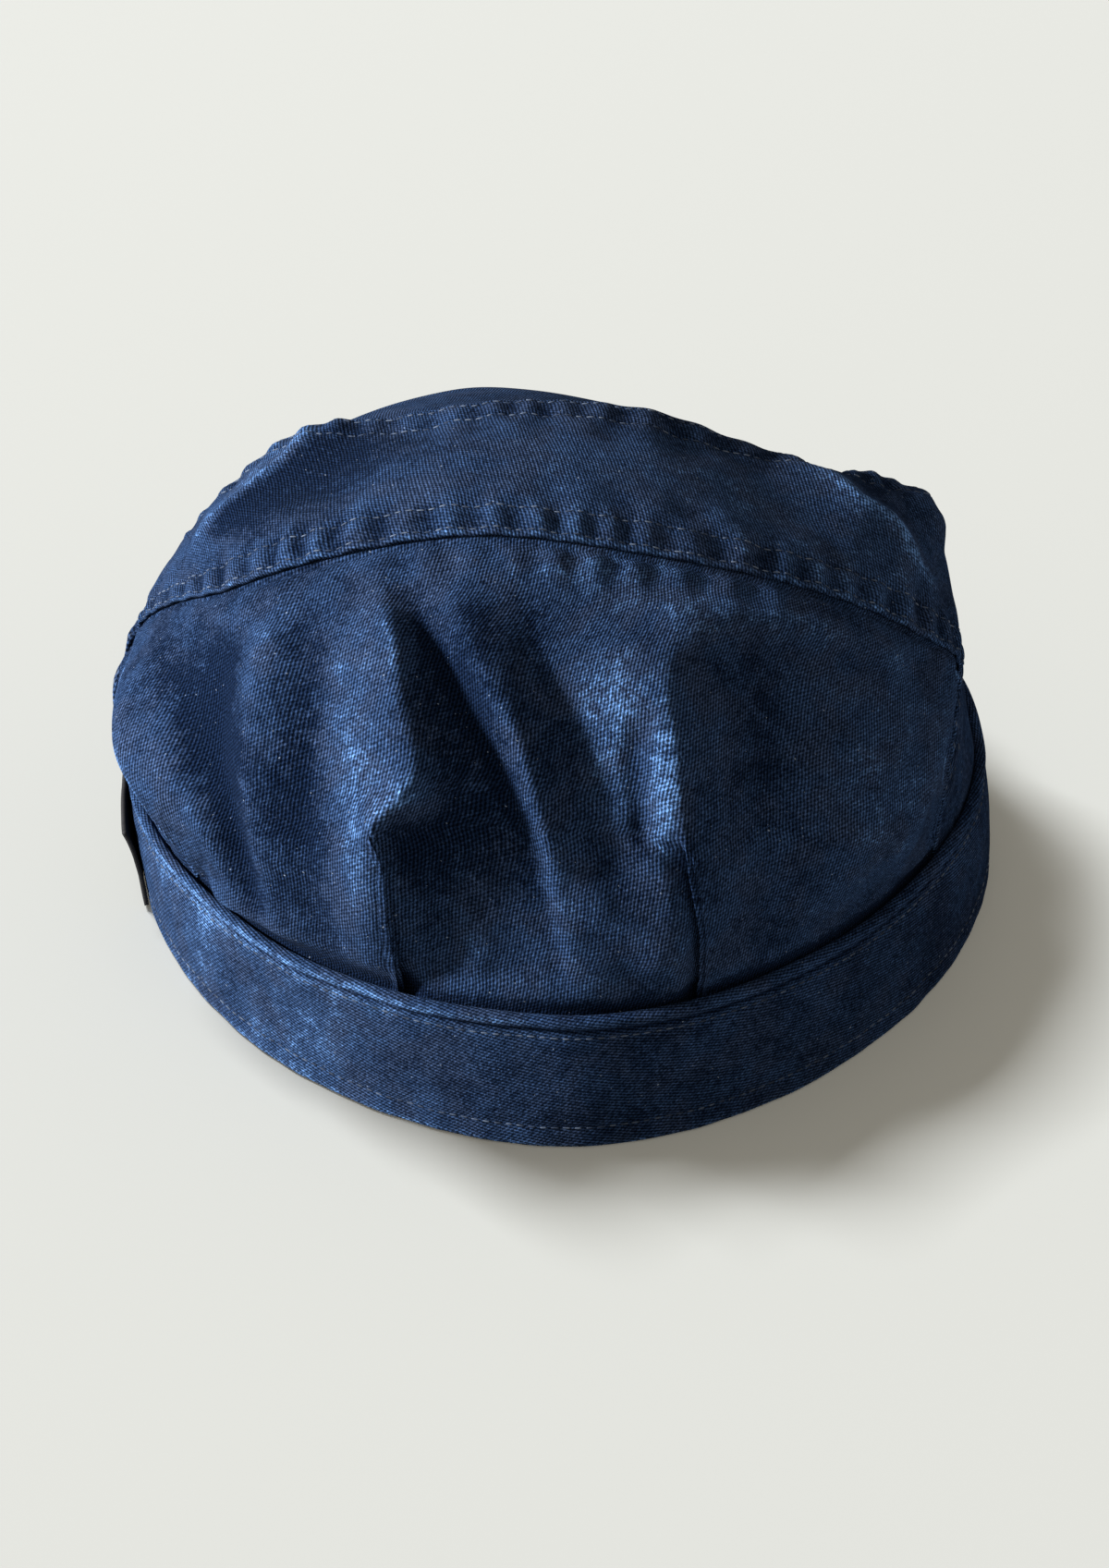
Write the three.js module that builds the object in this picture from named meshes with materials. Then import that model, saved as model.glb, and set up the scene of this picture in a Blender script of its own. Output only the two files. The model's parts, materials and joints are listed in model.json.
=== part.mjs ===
/**
 * Engineer cap in washed cotton: a full crown of three panels set into a turned-up band, with a peak in
 * front and a bare cloth label on the left of the band.
 *
 * Millimetres. +Z is up, +Y points to the peak, -Y to the back and -X to the wearer's left.
 * The rim of the band lies on z = 0, and the origin is under the middle of the whole cap.
 */
import * as THREE from 'three';

const { clamp, degToRad, lerp, smoothstep } = THREE.MathUtils;

// Cloth: wall of a crown panel, clearance between pieces, lap of the top strip, depth tucked into the band
const CLOTH = { wall: 1.3, gap: 0.4, lap: 8, tuck: 7 };

// Rim seen from above: reach from its middle, and fullness of each quarter, where 2 is an ellipse
const RIM = {
  left: 95.5, right: 94.5, back: 97.5, front: 96,
  fullBackLeft: 1.86, fullBackRight: 1.77, fullFront: 2.05,
};

// Band: how far its top leans out past the rim on each side, and its steps around
const BAND = { height: 31, wall: 2, steps: 96, lean: { left: 3.5, right: -2, back: -5, front: -4 } };

// Section of the band's wall: inset from its outer face, and height as a share of the band's height
const BAND_WALL = [
  { inset: 0, rise: 0 },
  { inset: 0, rise: 0.92 },
  { inset: -0.5, rise: 0.96 },
  { inset: 0.2, rise: 1 },
  { inset: 1.6, rise: 1 },
  { inset: BAND.wall, rise: 0.97 },
  { inset: BAND.wall, rise: 0 },
];

// Sections of the crown from the left ear to the right ear. Each runs from the band in front, over the front
// seam and the back seam, to the band behind. A turn is the angle around the rim, in degrees from the back.
// At the two ears the section is a stretch of the band's own ring.
const SECTIONS = [
  { backSeam: null, frontSeam: null, backTurn: -60, frontTurn: -112 },
  { backSeam: [-95, -31, 54], frontSeam: [-89, 38, 46], backTurn: -54, frontTurn: -119 },
  { backSeam: [-84, -18, 74.5], frontSeam: [-81, 32, 67.5], backTurn: -45, frontTurn: -130 },
  { backSeam: [-61, -29, 97], frontSeam: [-56.5, 25, 94.5], backTurn: -30, frontTurn: -147 },
  { backSeam: [-22, -33, 109], frontSeam: [-22, 20, 106], backTurn: -10, frontTurn: -170 },
  { backSeam: [15, -33, 104.5], frontSeam: [14, 20, 105], backTurn: 10, frontTurn: 170 },
  { backSeam: [54, -29, 91], frontSeam: [54, 25, 88.5], backTurn: 30, frontTurn: 147 },
  { backSeam: [79.5, -19, 68.5], frontSeam: [75.5, 32, 74.5], backTurn: 47, frontTurn: 131 },
  { backSeam: [81.5, -23, 53], frontSeam: [81, 38, 51], backTurn: 57, frontTurn: 122 },
  { backSeam: null, frontSeam: null, backTurn: 65, frontTurn: 116 },
];

// Places along a section
const PLACE = { frontBand: 0, frontSeam: 1, backSeam: 2, backBand: 3 };

// How far each panel turns at its seam from the strip's line to its own, and the pull of its two ends
const DRAPE = {
  strip: { turn: 0.25, seamPull: 0.33 },
  back: { turn: 0.33, seamPull: 0.42, bandPull: 0.42 },
  front: { turn: 0.62, seamPull: 0.25, bandPull: 0.48 },
  leanAtBand: 0.22,
};

// The ears, where the strip lies between the panels and the band: share of sideways turn where that starts
// and where it is full
const EAR = { starts: 0.35, full: 0.75 };

// Soft folds of the back panel, each from one point to another: across the crown, down from the seam (0) to
// the band (1). Height is outwards in millimetres, and width is the half width of the fold.
const FOLDS = [
  { name: 'left upper hollow', from: [0.412, 0.16], to: [0.455, 0.46], height: -3.2, width: 8 },
  { name: 'ridge between hollows', from: [0.43, 0.14], to: [0.48, 0.5], height: 2.2, width: 7 },
  { name: 'middle upper hollow', from: [0.48, 0.16], to: [0.52, 0.44], height: -3, width: 8 },
  { name: 'ridge over right pleat', from: [0.55, 0.12], to: [0.57, 0.58], height: 2.4, width: 9 },
  { name: 'ridge over left pleat', from: [0.38, 0.28], to: [0.375, 0.62], height: 2, width: 9 },
  { name: 'middle valley', from: [0.47, 0.42], to: [0.503, 0.88], height: -3, width: 7 },
  { name: 'soft ridge', from: [0.492, 0.62], to: [0.55, 0.86], height: 1.2, width: 9 },
  { name: 'left hollow', from: [0.345, 0.16], to: [0.34, 0.42], height: -1.6, width: 9 },
  { name: 'left side hollow', from: [0.28, 0.2], to: [0.25, 0.5], height: -1.8, width: 10 },
];

// Pleats of the back panel at the band: the fold's edge across the crown, the way its pocket opens (1 is to
// the right), how far down the panel it starts and is full, and the depth and width of its pocket
const PLEATS = [
  { name: 'left pleat', edge: 0.377, opens: 1, starts: 0.5, full: 0.72, depth: 4.2, pocket: 15 },
  { name: 'right pleat', edge: 0.588, opens: -1, starts: 0.52, full: 0.78, depth: 3.6, pocket: 13 },
];

// Size of the back panel along its seam and down its middle, to measure folds by, and the run of a fold's end
const BACK_SPREAD = { across: 300, down: 106, foldEnd: 0.1, pleatEdge: 2.6 };

// Stations across the crown, shared by the three panels: close together where the pleats are
const ACROSS = { start: 0.006, end: 0.994, pleatsStart: 0.335, pleatsEnd: 0.63, sideSteps: 9, pleatSteps: 27 };
const ROWS = { back: 17, strip: 6, front: 10 };
const STRIP_WIDTH = 53;

// Point inside the crown that folds are pushed away from
const CROWN_HEART = new THREE.Vector3(0, 0, 38);

// Peak: reach past the band, half of the turn that it is sewn along, wall, rise of its arch, height of its
// corners over the rim, narrowest reach at a corner, fullness of its outline, and its grid
const PEAK = {
  reach: 58, halfTurn: 60, wall: 3, arch: 5, clearance: 0.6, cornerReach: 2.5,
  outline: { bend: 2.2, power: 0.75 }, forward: 0.75, columns: 28, rows: 7,
};

// Label: turns of its two ends, heights of its edges, wall, lift of its free upper corner and how that fades,
// and its grid
const LABEL = {
  backTurn: -77, frontTurn: -103, bottom: 2.5, top: 27, wall: 1,
  cornerLift: 1.4, liftPower: 4, columns: 8, rows: 5,
};

const WASHED_NAVY = { color: 0x2c3b57, roughness: 0.93, metalness: 0 };
const BLACK_TAPE = { color: 0x101013, roughness: 0.85, metalness: 0 };

/** Evenly spaced values from one end to the other. */
function ramp(from, to, steps) {
  return Array.from({ length: steps + 1 }, (_, i) => lerp(from, to, i / steps));
}

/** Radius of the rim at a turn, seen from above. */
function rimRadius(turn, inset) {
  const side = Math.sin(turn);
  const back = Math.cos(turn);
  const across = (side < 0 ? RIM.left : RIM.right) - inset;
  const along = (back > 0 ? RIM.back : RIM.front) - inset;
  const backFullness = side < 0 ? RIM.fullBackLeft : RIM.fullBackRight;
  const fullness = back > 0 ? backFullness : RIM.fullFront;
  const sum = Math.abs(side / across) ** fullness + Math.abs(back / along) ** fullness;
  return sum ** (-1 / fullness);
}

/** Point of the band at a turn and a height, set in from its outer face. */
function bandPoint(turn, height, inset) {
  const side = Math.sin(turn);
  const back = Math.cos(turn);
  const sideLean = side < 0 ? BAND.lean.left : BAND.lean.right;
  const alongLean = back > 0 ? BAND.lean.back : BAND.lean.front;
  const lean = sideLean * side * side + alongLean * back * back;
  const radius = rimRadius(turn, inset) + lean * height / BAND.height;
  return new THREE.Vector3(radius * side, -radius * back, height);
}

/** Inset of the crown inside the band: deeper at the ears, where the strip lies outside the panels. */
function crownInset(turn) {
  const ear = smoothstep(Math.sin(turn) ** 2, EAR.starts, EAR.full);
  return BAND.wall + CLOTH.gap + ear * (CLOTH.wall + CLOTH.gap);
}

/** Point of the crown on the top edge of the band, or some depth below it. */
function tuckedPoint(turn, depth) {
  return bandPoint(turn, BAND.height - depth, crownInset(turn));
}

/** Unit vector from one point to another. */
function towards(from, to) {
  return to.clone().sub(from).normalize();
}

/** Curve from a seam to the band: it leaves the seam between two directions and meets the band from above. */
function drapedCurve(seam, stripLine, band, drape) {
  const length = seam.distanceTo(band);
  const leave = stripLine.clone().lerp(towards(seam, band), drape.turn).normalize();
  const rise = new THREE.Vector3(band.x, band.y, 0).normalize().multiplyScalar(DRAPE.leanAtBand);
  rise.z = 1;
  rise.normalize();
  return new THREE.CubicBezierCurve3(
    seam,
    seam.clone().addScaledVector(leave, length * drape.seamPull),
    band.clone().addScaledVector(rise, length * drape.bandPull),
    band,
  );
}

/** The three curves of one section: front panel, strip and back panel. */
function sectionCurves(section) {
  const backSeam = new THREE.Vector3(...section.backSeam);
  const frontSeam = new THREE.Vector3(...section.frontSeam);
  const backBand = tuckedPoint(degToRad(section.backTurn), 0);
  const frontBand = tuckedPoint(degToRad(section.frontTurn), 0);
  const backwards = towards(frontSeam, backSeam);
  const forwards = towards(backSeam, frontSeam);
  const pull = frontSeam.distanceTo(backSeam) * DRAPE.strip.seamPull;
  const offFront = forwards.clone().lerp(towards(frontSeam, frontBand), DRAPE.strip.turn).normalize();
  const offBack = backwards.clone().lerp(towards(backSeam, backBand), DRAPE.strip.turn).normalize();
  return {
    front: drapedCurve(frontSeam, forwards, frontBand, DRAPE.front),
    strip: new THREE.CubicBezierCurve3(
      frontSeam,
      frontSeam.clone().addScaledVector(offFront, -pull),
      backSeam.clone().addScaledVector(offBack, -pull),
      backSeam,
    ),
    back: drapedCurve(backSeam, backwards, backBand, DRAPE.back),
  };
}

const CURVES = SECTIONS.map((section) => (section.backSeam ? sectionCurves(section) : null));

/** Point of one section at a place along it. */
function sectionPoint(index, place) {
  const curves = CURVES[index];
  if (!curves) {
    const share = clamp(place - PLACE.frontSeam, 0, 1);
    const { frontTurn, backTurn } = SECTIONS[index];
    return tuckedPoint(degToRad(lerp(frontTurn, backTurn, share)), 0);
  }
  if (place < PLACE.frontSeam) return curves.front.getPoint(PLACE.frontSeam - place);
  if (place > PLACE.backSeam) return curves.back.getPoint(place - PLACE.backSeam);
  return curves.strip.getPoint(place - PLACE.frontSeam);
}

/** Point of the smooth crown: across from ear to ear, at a place from front to back. */
function smoothCrown(across, place) {
  const points = SECTIONS.map((_, index) => sectionPoint(index, place));
  return new THREE.CatmullRomCurve3(points, false, 'catmullrom', 0.5).getPoint(across);
}

/** Height of one soft fold at a point of the back panel. */
function foldHeight(fold, across, down) {
  const scale = new THREE.Vector2(BACK_SPREAD.across, BACK_SPREAD.down);
  const start = new THREE.Vector2(...fold.from).multiply(scale);
  const line = new THREE.Vector2(...fold.to).multiply(scale).sub(start);
  const point = new THREE.Vector2(across, down).multiply(scale).sub(start);
  const along = point.dot(line) / line.lengthSq();
  const distance = point.cross(line) / line.length();
  const ends = smoothstep(along, -BACK_SPREAD.foldEnd, 2 * BACK_SPREAD.foldEnd)
    * smoothstep(1 - along, -BACK_SPREAD.foldEnd, 2 * BACK_SPREAD.foldEnd);
  return fold.height * ends * Math.exp(-((distance / fold.width) ** 2));
}

/** Depth of one pleat's pocket at a point of the back panel, as a height outwards. */
function pleatHeight(pleat, across, down) {
  const past = (across - pleat.edge) * pleat.opens * BACK_SPREAD.across;
  const edge = smoothstep(past, 0, BACK_SPREAD.pleatEdge);
  const pocket = 1 - smoothstep(past, BACK_SPREAD.pleatEdge, pleat.pocket);
  return -pleat.depth * smoothstep(down, pleat.starts, pleat.full) * edge * pocket;
}

/** Point of the crown with its folds, and tucked down inside the band past its ends. */
function crownPoint(across, place) {
  const inside = clamp(place, PLACE.frontBand, PLACE.backBand);
  const reach = clamp(across, 0, 1);
  const point = smoothCrown(reach, inside);
  const depth = CLOTH.tuck * Math.max(-across, across - 1, -place, place - PLACE.backBand, 0);
  if (depth > 0) point.copy(tuckedPoint(Math.atan2(point.x, -point.y), depth));
  const down = inside - PLACE.backSeam;
  if (down <= 0) return point;
  const folds = FOLDS.reduce((sum, fold) => sum + foldHeight(fold, reach, down), 0);
  const pleats = PLEATS.reduce((sum, pleat) => sum + pleatHeight(pleat, reach, down), 0);
  return point.addScaledVector(towards(CROWN_HEART, point), folds + pleats);
}

/** Normal of a grid of points at one of them, from its neighbours. */
function gridNormal(grid, i, j) {
  const before = grid[Math.max(i - 1, 0)][j];
  const after = grid[Math.min(i + 1, grid.length - 1)][j];
  const above = grid[i][Math.max(j - 1, 0)];
  const below = grid[i][Math.min(j + 1, grid[i].length - 1)];
  return after.clone().sub(before).cross(below.clone().sub(above)).normalize();
}

/** Closed geometry from corner points and triangles that share them. */
function closedGeometry(points, triangles) {
  const geometry = new THREE.BufferGeometry();
  geometry.setFromPoints(points);
  geometry.setIndex(triangles);
  geometry.computeVertexNormals();
  return geometry;
}

/** Sheet with a wall: a grid of points lifted along its normals, with its inner face one wall below. */
function sheetGeometry(columns, rows, pointAt, lift, wall) {
  const grid = columns.map((column) => rows.map((row) => pointAt(column, row)));
  const points = [];
  const triangles = [];
  for (const depth of [lift, lift - wall]) {
    grid.forEach((line, i) => line.forEach((point, j) => {
      points.push(point.clone().addScaledVector(gridNormal(grid, i, j), depth));
    }));
  }
  const outer = (i, j) => i * rows.length + j;
  const inner = (i, j) => outer(i, j) + columns.length * rows.length;
  const quad = (a, b, c, d) => triangles.push(a, b, c, a, c, d);
  const lastColumn = columns.length - 1;
  const lastRow = rows.length - 1;
  for (let i = 0; i < lastColumn; i += 1) {
    for (let j = 0; j < lastRow; j += 1) {
      quad(outer(i, j), outer(i + 1, j), outer(i + 1, j + 1), outer(i, j + 1));
      quad(inner(i, j), inner(i, j + 1), inner(i + 1, j + 1), inner(i + 1, j));
    }
    quad(outer(i, 0), inner(i, 0), inner(i + 1, 0), outer(i + 1, 0));
    quad(outer(i, lastRow), outer(i + 1, lastRow), inner(i + 1, lastRow), inner(i, lastRow));
  }
  for (let j = 0; j < lastRow; j += 1) {
    quad(outer(0, j), outer(0, j + 1), inner(0, j + 1), inner(0, j));
    quad(outer(lastColumn, j), inner(lastColumn, j), inner(lastColumn, j + 1), outer(lastColumn, j + 1));
  }
  return closedGeometry(points, triangles);
}

/** Ring swept around the rim from the section of the band's wall. */
function bandGeometry() {
  const points = [];
  const triangles = [];
  for (let step = 0; step < BAND.steps; step += 1) {
    const turn = step * 2 * Math.PI / BAND.steps;
    BAND_WALL.forEach(({ inset, rise }) => points.push(bandPoint(turn, rise * BAND.height, inset)));
  }
  const corner = (step, k) => (step % BAND.steps) * BAND_WALL.length + (k % BAND_WALL.length);
  for (let step = 0; step < BAND.steps; step += 1) {
    for (let k = 0; k < BAND_WALL.length; k += 1) {
      const a = corner(step, k);
      const b = corner(step + 1, k);
      const c = corner(step + 1, k + 1);
      const d = corner(step, k + 1);
      triangles.push(a, b, c, a, c, d);
    }
  }
  return closedGeometry(points, triangles);
}

/** Point under the peak: across from corner to corner, out from the band to its free edge. */
function peakPoint(across, out) {
  const turn = Math.PI - across * degToRad(PEAK.halfTurn);
  const height = PEAK.clearance + PEAK.arch * (1 - across * across);
  const seat = bandPoint(turn, height, -CLOTH.gap);
  const radial = new THREE.Vector3(seat.x, seat.y, 0).normalize();
  const ahead = radial.lerp(new THREE.Vector3(0, 1, 0), PEAK.forward).normalize();
  const fullness = (1 - Math.abs(across) ** PEAK.outline.bend) ** PEAK.outline.power;
  return seat.addScaledVector(ahead, out * lerp(PEAK.cornerReach, PEAK.reach, fullness));
}

/** Point of the label's inner face: along the band and up it. */
function labelPoint(along, up) {
  const turn = degToRad(lerp(LABEL.frontTurn, LABEL.backTurn, along));
  const lift = LABEL.cornerLift * (along * up) ** LABEL.liftPower;
  return bandPoint(turn, lerp(LABEL.bottom, LABEL.top, up), -CLOTH.gap - lift);
}

/** One named piece of the cap. */
function piece(name, geometry, finish) {
  const mesh = new THREE.Mesh(geometry, new THREE.MeshStandardMaterial(finish));
  mesh.name = name;
  return mesh;
}

/** Stations across the crown, the same for its three panels. */
function crownColumns() {
  return [
    ...ramp(ACROSS.start, ACROSS.pleatsStart, ACROSS.sideSteps),
    ...ramp(ACROSS.pleatsStart, ACROSS.pleatsEnd, ACROSS.pleatSteps).slice(1),
    ...ramp(ACROSS.pleatsEnd, ACROSS.end, ACROSS.sideSteps).slice(1),
  ];
}

/** Back panel: from under the top strip down into the band. */
function backPanel() {
  const rows = [
    PLACE.backBand + 1,
    ...ramp(PLACE.backBand, PLACE.backSeam, ROWS.back),
    PLACE.backSeam - CLOTH.lap / STRIP_WIDTH,
  ];
  return piece('back_panel', sheetGeometry(crownColumns(), rows, crownPoint, 0, CLOTH.wall), WASHED_NAVY);
}

/** Top strip from ear to ear, lapped over the panels behind and in front of it. */
function topPanel() {
  const lap = CLOTH.lap / STRIP_WIDTH;
  const rows = [
    PLACE.backSeam,
    ...ramp(PLACE.backSeam - lap, PLACE.frontSeam + lap, ROWS.strip),
    PLACE.frontSeam,
  ];
  const columns = [-1, 0, ...crownColumns(), 1, 2];
  const proud = CLOTH.wall + CLOTH.gap;
  return piece('top_panel', sheetGeometry(columns, rows, crownPoint, proud, CLOTH.wall), WASHED_NAVY);
}

/** Front panel: from under the top strip down into the band over the peak. */
function frontPanel() {
  const rows = [
    PLACE.frontSeam + CLOTH.lap / STRIP_WIDTH,
    ...ramp(PLACE.frontSeam, PLACE.frontBand, ROWS.front),
    PLACE.frontBand - 1,
  ];
  return piece('front_panel', sheetGeometry(crownColumns(), rows, crownPoint, 0, CLOTH.wall), WASHED_NAVY);
}

/** Peak, sewn to the foot of the band in front. */
function peak() {
  const columns = ramp(-1, 1, PEAK.columns);
  const rows = ramp(0, 1, PEAK.rows);
  return piece('peak', sheetGeometry(columns, rows, peakPoint, PEAK.wall, PEAK.wall), WASHED_NAVY);
}

/** Bare label, sewn to the left of the band. */
function sideLabel() {
  const columns = ramp(0, 1, LABEL.columns);
  const rows = ramp(0, 1, LABEL.rows);
  return piece('side_label', sheetGeometry(columns, rows, labelPoint, LABEL.wall, LABEL.wall), BLACK_TAPE);
}

/** The cap, with its origin under the middle of its box. */
function engineerCap() {
  const cap = new THREE.Group();
  const band = piece('band', bandGeometry(), WASHED_NAVY);
  cap.add(backPanel(), topPanel(), frontPanel(), band, peak(), sideLabel());
  const box = new THREE.Box3().setFromObject(cap);
  const middle = box.getCenter(new THREE.Vector3());
  cap.position.set(-middle.x, -middle.y, -box.min.z);
  return cap;
}

export default engineerCap();
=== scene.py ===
"""Engineer cap in washed navy cotton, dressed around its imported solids.

A full crown of three panels is set into a turned-up band. Two pleats gather the back panel at the band, the
top strip is lapped over the panels behind and in front of it and sewn with twin rows of stitches, a peak is
sewn to the foot of the band in front, and a bare black label is sewn to its left.

Shapes are worked out in millimetres around the middle of the rim, with +Z up, +Y to the peak and -X to the
wearer's left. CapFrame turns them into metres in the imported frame.
"""
import json
import logging
import math
from dataclasses import dataclass
from enum import Enum
from typing import Optional, Sequence

import bpy
import numpy as np
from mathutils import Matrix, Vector

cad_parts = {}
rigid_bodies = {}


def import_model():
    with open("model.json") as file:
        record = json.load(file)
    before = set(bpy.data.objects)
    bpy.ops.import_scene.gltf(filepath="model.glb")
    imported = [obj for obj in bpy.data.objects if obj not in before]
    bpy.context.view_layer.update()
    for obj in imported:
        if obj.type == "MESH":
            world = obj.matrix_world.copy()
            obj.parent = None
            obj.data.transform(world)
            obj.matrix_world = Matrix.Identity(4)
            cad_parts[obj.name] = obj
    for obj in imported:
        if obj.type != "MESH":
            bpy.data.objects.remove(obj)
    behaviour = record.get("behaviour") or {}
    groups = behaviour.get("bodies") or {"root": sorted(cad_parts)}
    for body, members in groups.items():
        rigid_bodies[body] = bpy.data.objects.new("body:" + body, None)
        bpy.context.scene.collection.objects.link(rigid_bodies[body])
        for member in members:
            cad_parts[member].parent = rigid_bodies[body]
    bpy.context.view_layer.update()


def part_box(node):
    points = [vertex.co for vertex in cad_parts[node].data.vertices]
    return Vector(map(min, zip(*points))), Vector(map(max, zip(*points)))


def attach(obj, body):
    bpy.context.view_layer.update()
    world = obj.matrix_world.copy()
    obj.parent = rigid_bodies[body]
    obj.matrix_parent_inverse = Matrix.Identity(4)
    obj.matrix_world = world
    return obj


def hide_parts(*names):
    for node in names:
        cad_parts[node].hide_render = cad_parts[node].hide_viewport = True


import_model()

BODY = "root"
MM = 0.001
CLOTH_MAP = "cloth"
# Name of the attribute for how worn the cloth is, which on some pieces also holds painted highlights and
# painted shade
WEAR_AND_LIGHT = "wear_and_painted_light"
# Millimetres within which two corners of a ring are one
WELD = 0.02
# Least length that is divided by
TINY = 1e-9

log = logging.getLogger("engineer_cap")

Array = np.ndarray
Point = tuple[float, float, float]
Pair = tuple[float, float]
Colour = tuple[float, float, float]


class Slot(Enum):
    """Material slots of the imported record."""

    CROWN = "crown_cloth"
    STRIP = "strip_cloth"
    BAND = "band_cloth"
    PEAK = "peak_cloth"
    LABEL = "label_tape"


class Hold(Enum):
    """How a sheet of cloth is held."""

    GATHERED = "gathered"
    STRETCHED = "stretched"
    FOLDED = "folded"
    LAID = "laid"


class FoldShape(Enum):
    """Section of a fold: a soft swell, or a crease with a narrow crest."""

    SOFT = "soft"
    CREASED = "creased"


# Small helpers


def smooth_step(value: Array, start: float, end: float) -> Array:
    """Share from 0 at start to 1 at end, with level ends."""
    share = np.clip((np.asarray(value, float) - start) / (end - start), 0.0, 1.0)
    return share * share * (3.0 - 2.0 * share)


def swell(value: Array, width: float | Array, power: int = 2) -> Array:
    """Soft swell: 1 at no distance, fading over a width."""
    return np.exp(-((value / width) ** power))


def window(value: Array, opens: Pair, closes: Pair) -> Array:
    """Share that rises over one range and falls again over a later one."""
    return smooth_step(value, *opens) * (1 - smooth_step(value, *closes))


def unit(vectors: Array) -> Array:
    """Vectors at length one."""
    return vectors / np.maximum(np.linalg.norm(vectors, axis=-1, keepdims=True), TINY)


def grid_normals(points: Array) -> Array:
    """Normals of a grid of points, from its columns and rows."""
    return unit(np.cross(np.gradient(points, axis=0), np.gradient(points, axis=1)))


def spread(stops: Sequence[float], steps: Sequence[int]) -> Array:
    """Values through the stops, with so many even steps between each two.

    Args:
        stops: the values to pass through.
        steps: how many steps lie between one stop and the next.

    Returns:
        The values in order, each stop once.
    """
    parts = [np.linspace(a, b, n, endpoint=False) for a, b, n in zip(stops, stops[1:], steps)]
    return np.concatenate(parts + [np.array([stops[-1]])])


class SoftNoise:
    """Smooth noise over a flat sheet, the same on every run."""

    def __init__(self, seed: int, cells: int = 64) -> None:
        """Draw the lattice that the noise is read from.

        Args:
            seed: start of the random draws.
            cells: side of the lattice, after which the noise repeats.
        """
        self.cells = cells
        self.lattice = np.random.default_rng(seed).uniform(-1.0, 1.0, (cells, cells))

    def at(self, x: Array, y: Array, size: float) -> Array:
        """Noise from -1 to 1 at places on the sheet.

        Args:
            x: places across the sheet.
            y: places along the sheet.
            size: spacing of the swells, in the same unit.

        Returns:
            One value for each place.
        """
        column, row = np.floor(x / size).astype(int), np.floor(y / size).astype(int)
        across, along = smooth_step(x / size - column, 0, 1), smooth_step(y / size - row, 0, 1)

        def corner(i: int, j: int) -> Array:
            """Lattice value at one corner of each cell."""
            return self.lattice[(column + i) % self.cells, (row + j) % self.cells]

        near = corner(0, 0) * (1 - across) + corner(1, 0) * across
        far = corner(0, 1) * (1 - across) + corner(1, 1) * across
        return near * (1 - along) + far * along


@dataclass(frozen=True)
class Wrinkles:
    """Small uneven swells of cloth.

    Each kind is given by its height, its size and its shift across and along the sheet, in millimetres.
    """

    seed: int
    kinds: tuple[tuple[float, float, float, float], ...]

    def heights(self, x: Array, y: Array) -> Array:
        """Height of all kinds together, at places on the sheet."""
        noise = SoftNoise(self.seed)
        return sum(height * noise.at(x + right, y + on, size) for height, size, right, on in self.kinds)


# Forms of the cap, in millimetres


@dataclass(frozen=True)
class CapFrame:
    """Place of the rim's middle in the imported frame, from the box of the band."""

    right: float = 94.5
    back: float = 97.5

    def middle(self) -> Array:
        """Middle of the rim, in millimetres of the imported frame."""
        low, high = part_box("band")
        return np.array([high[0] / MM - self.right, low[1] / MM + self.back, 0.0])

    def metres(self, points: Array) -> Array:
        """Points around the rim's middle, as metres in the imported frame."""
        return (points + self.middle()) * MM


@dataclass(frozen=True)
class BandForm:
    """Ring of the band: its rim seen from above, its height and how far its top leans out."""

    left: float = 95.5
    right: float = 94.5
    back: float = 97.5
    front: float = 96.0
    full_back_left: float = 1.86
    full_back_right: float = 1.77
    full_front: float = 2.05
    height: float = 31.0
    wall: float = 2.0
    lean_left: float = 3.5
    lean_right: float = -2.0
    lean_back: float = -5.0
    lean_front: float = -4.0
    gap: float = 0.4
    cloth: float = 1.3
    ear_starts: float = 0.35
    ear_full: float = 0.75

    def radius(self, turn: Array, inset: Array) -> Array:
        """Radius of the rim at a turn from the back, less an inset."""
        side, back = np.sin(turn), np.cos(turn)
        across = np.where(side < 0, self.left, self.right) - inset
        along = np.where(back > 0, self.back, self.front) - inset
        full_back = np.where(side < 0, self.full_back_left, self.full_back_right)
        full = np.where(back > 0, full_back, self.full_front)
        return (np.abs(side / across) ** full + np.abs(back / along) ** full) ** (-1.0 / full)

    def point(self, turn: Array, height: Array, inset: Array) -> Array:
        """Point of the band at a turn and a height, set in from its outer face."""
        turn, height, inset = np.broadcast_arrays(turn, height, inset)
        side, back = np.sin(turn), np.cos(turn)
        lean_side = np.where(side < 0, self.lean_left, self.lean_right) * side**2
        lean_along = np.where(back > 0, self.lean_back, self.lean_front) * back**2
        radius = self.radius(turn, inset) + (lean_side + lean_along) * height / self.height
        return np.stack([radius * side, -radius * back, height.astype(float)], axis=-1)

    def tucked(self, turn: Array, depth: Array) -> Array:
        """Point of the crown inside the band, some depth below its top edge."""
        ear = smooth_step(np.sin(turn) ** 2, self.ear_starts, self.ear_full)
        inset = self.wall + self.gap + ear * (self.cloth + self.gap)
        return self.point(turn, self.height - np.asarray(depth, float), inset)


@dataclass(frozen=True)
class Section:
    """One section of the crown from the band in front, over both seams, to the band behind.

    At an ear it has no seams and lies on the band's own ring. Turns are in degrees from the back.
    """

    back_seam: Optional[Point]
    front_seam: Optional[Point]
    back_turn: float
    front_turn: float


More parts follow.
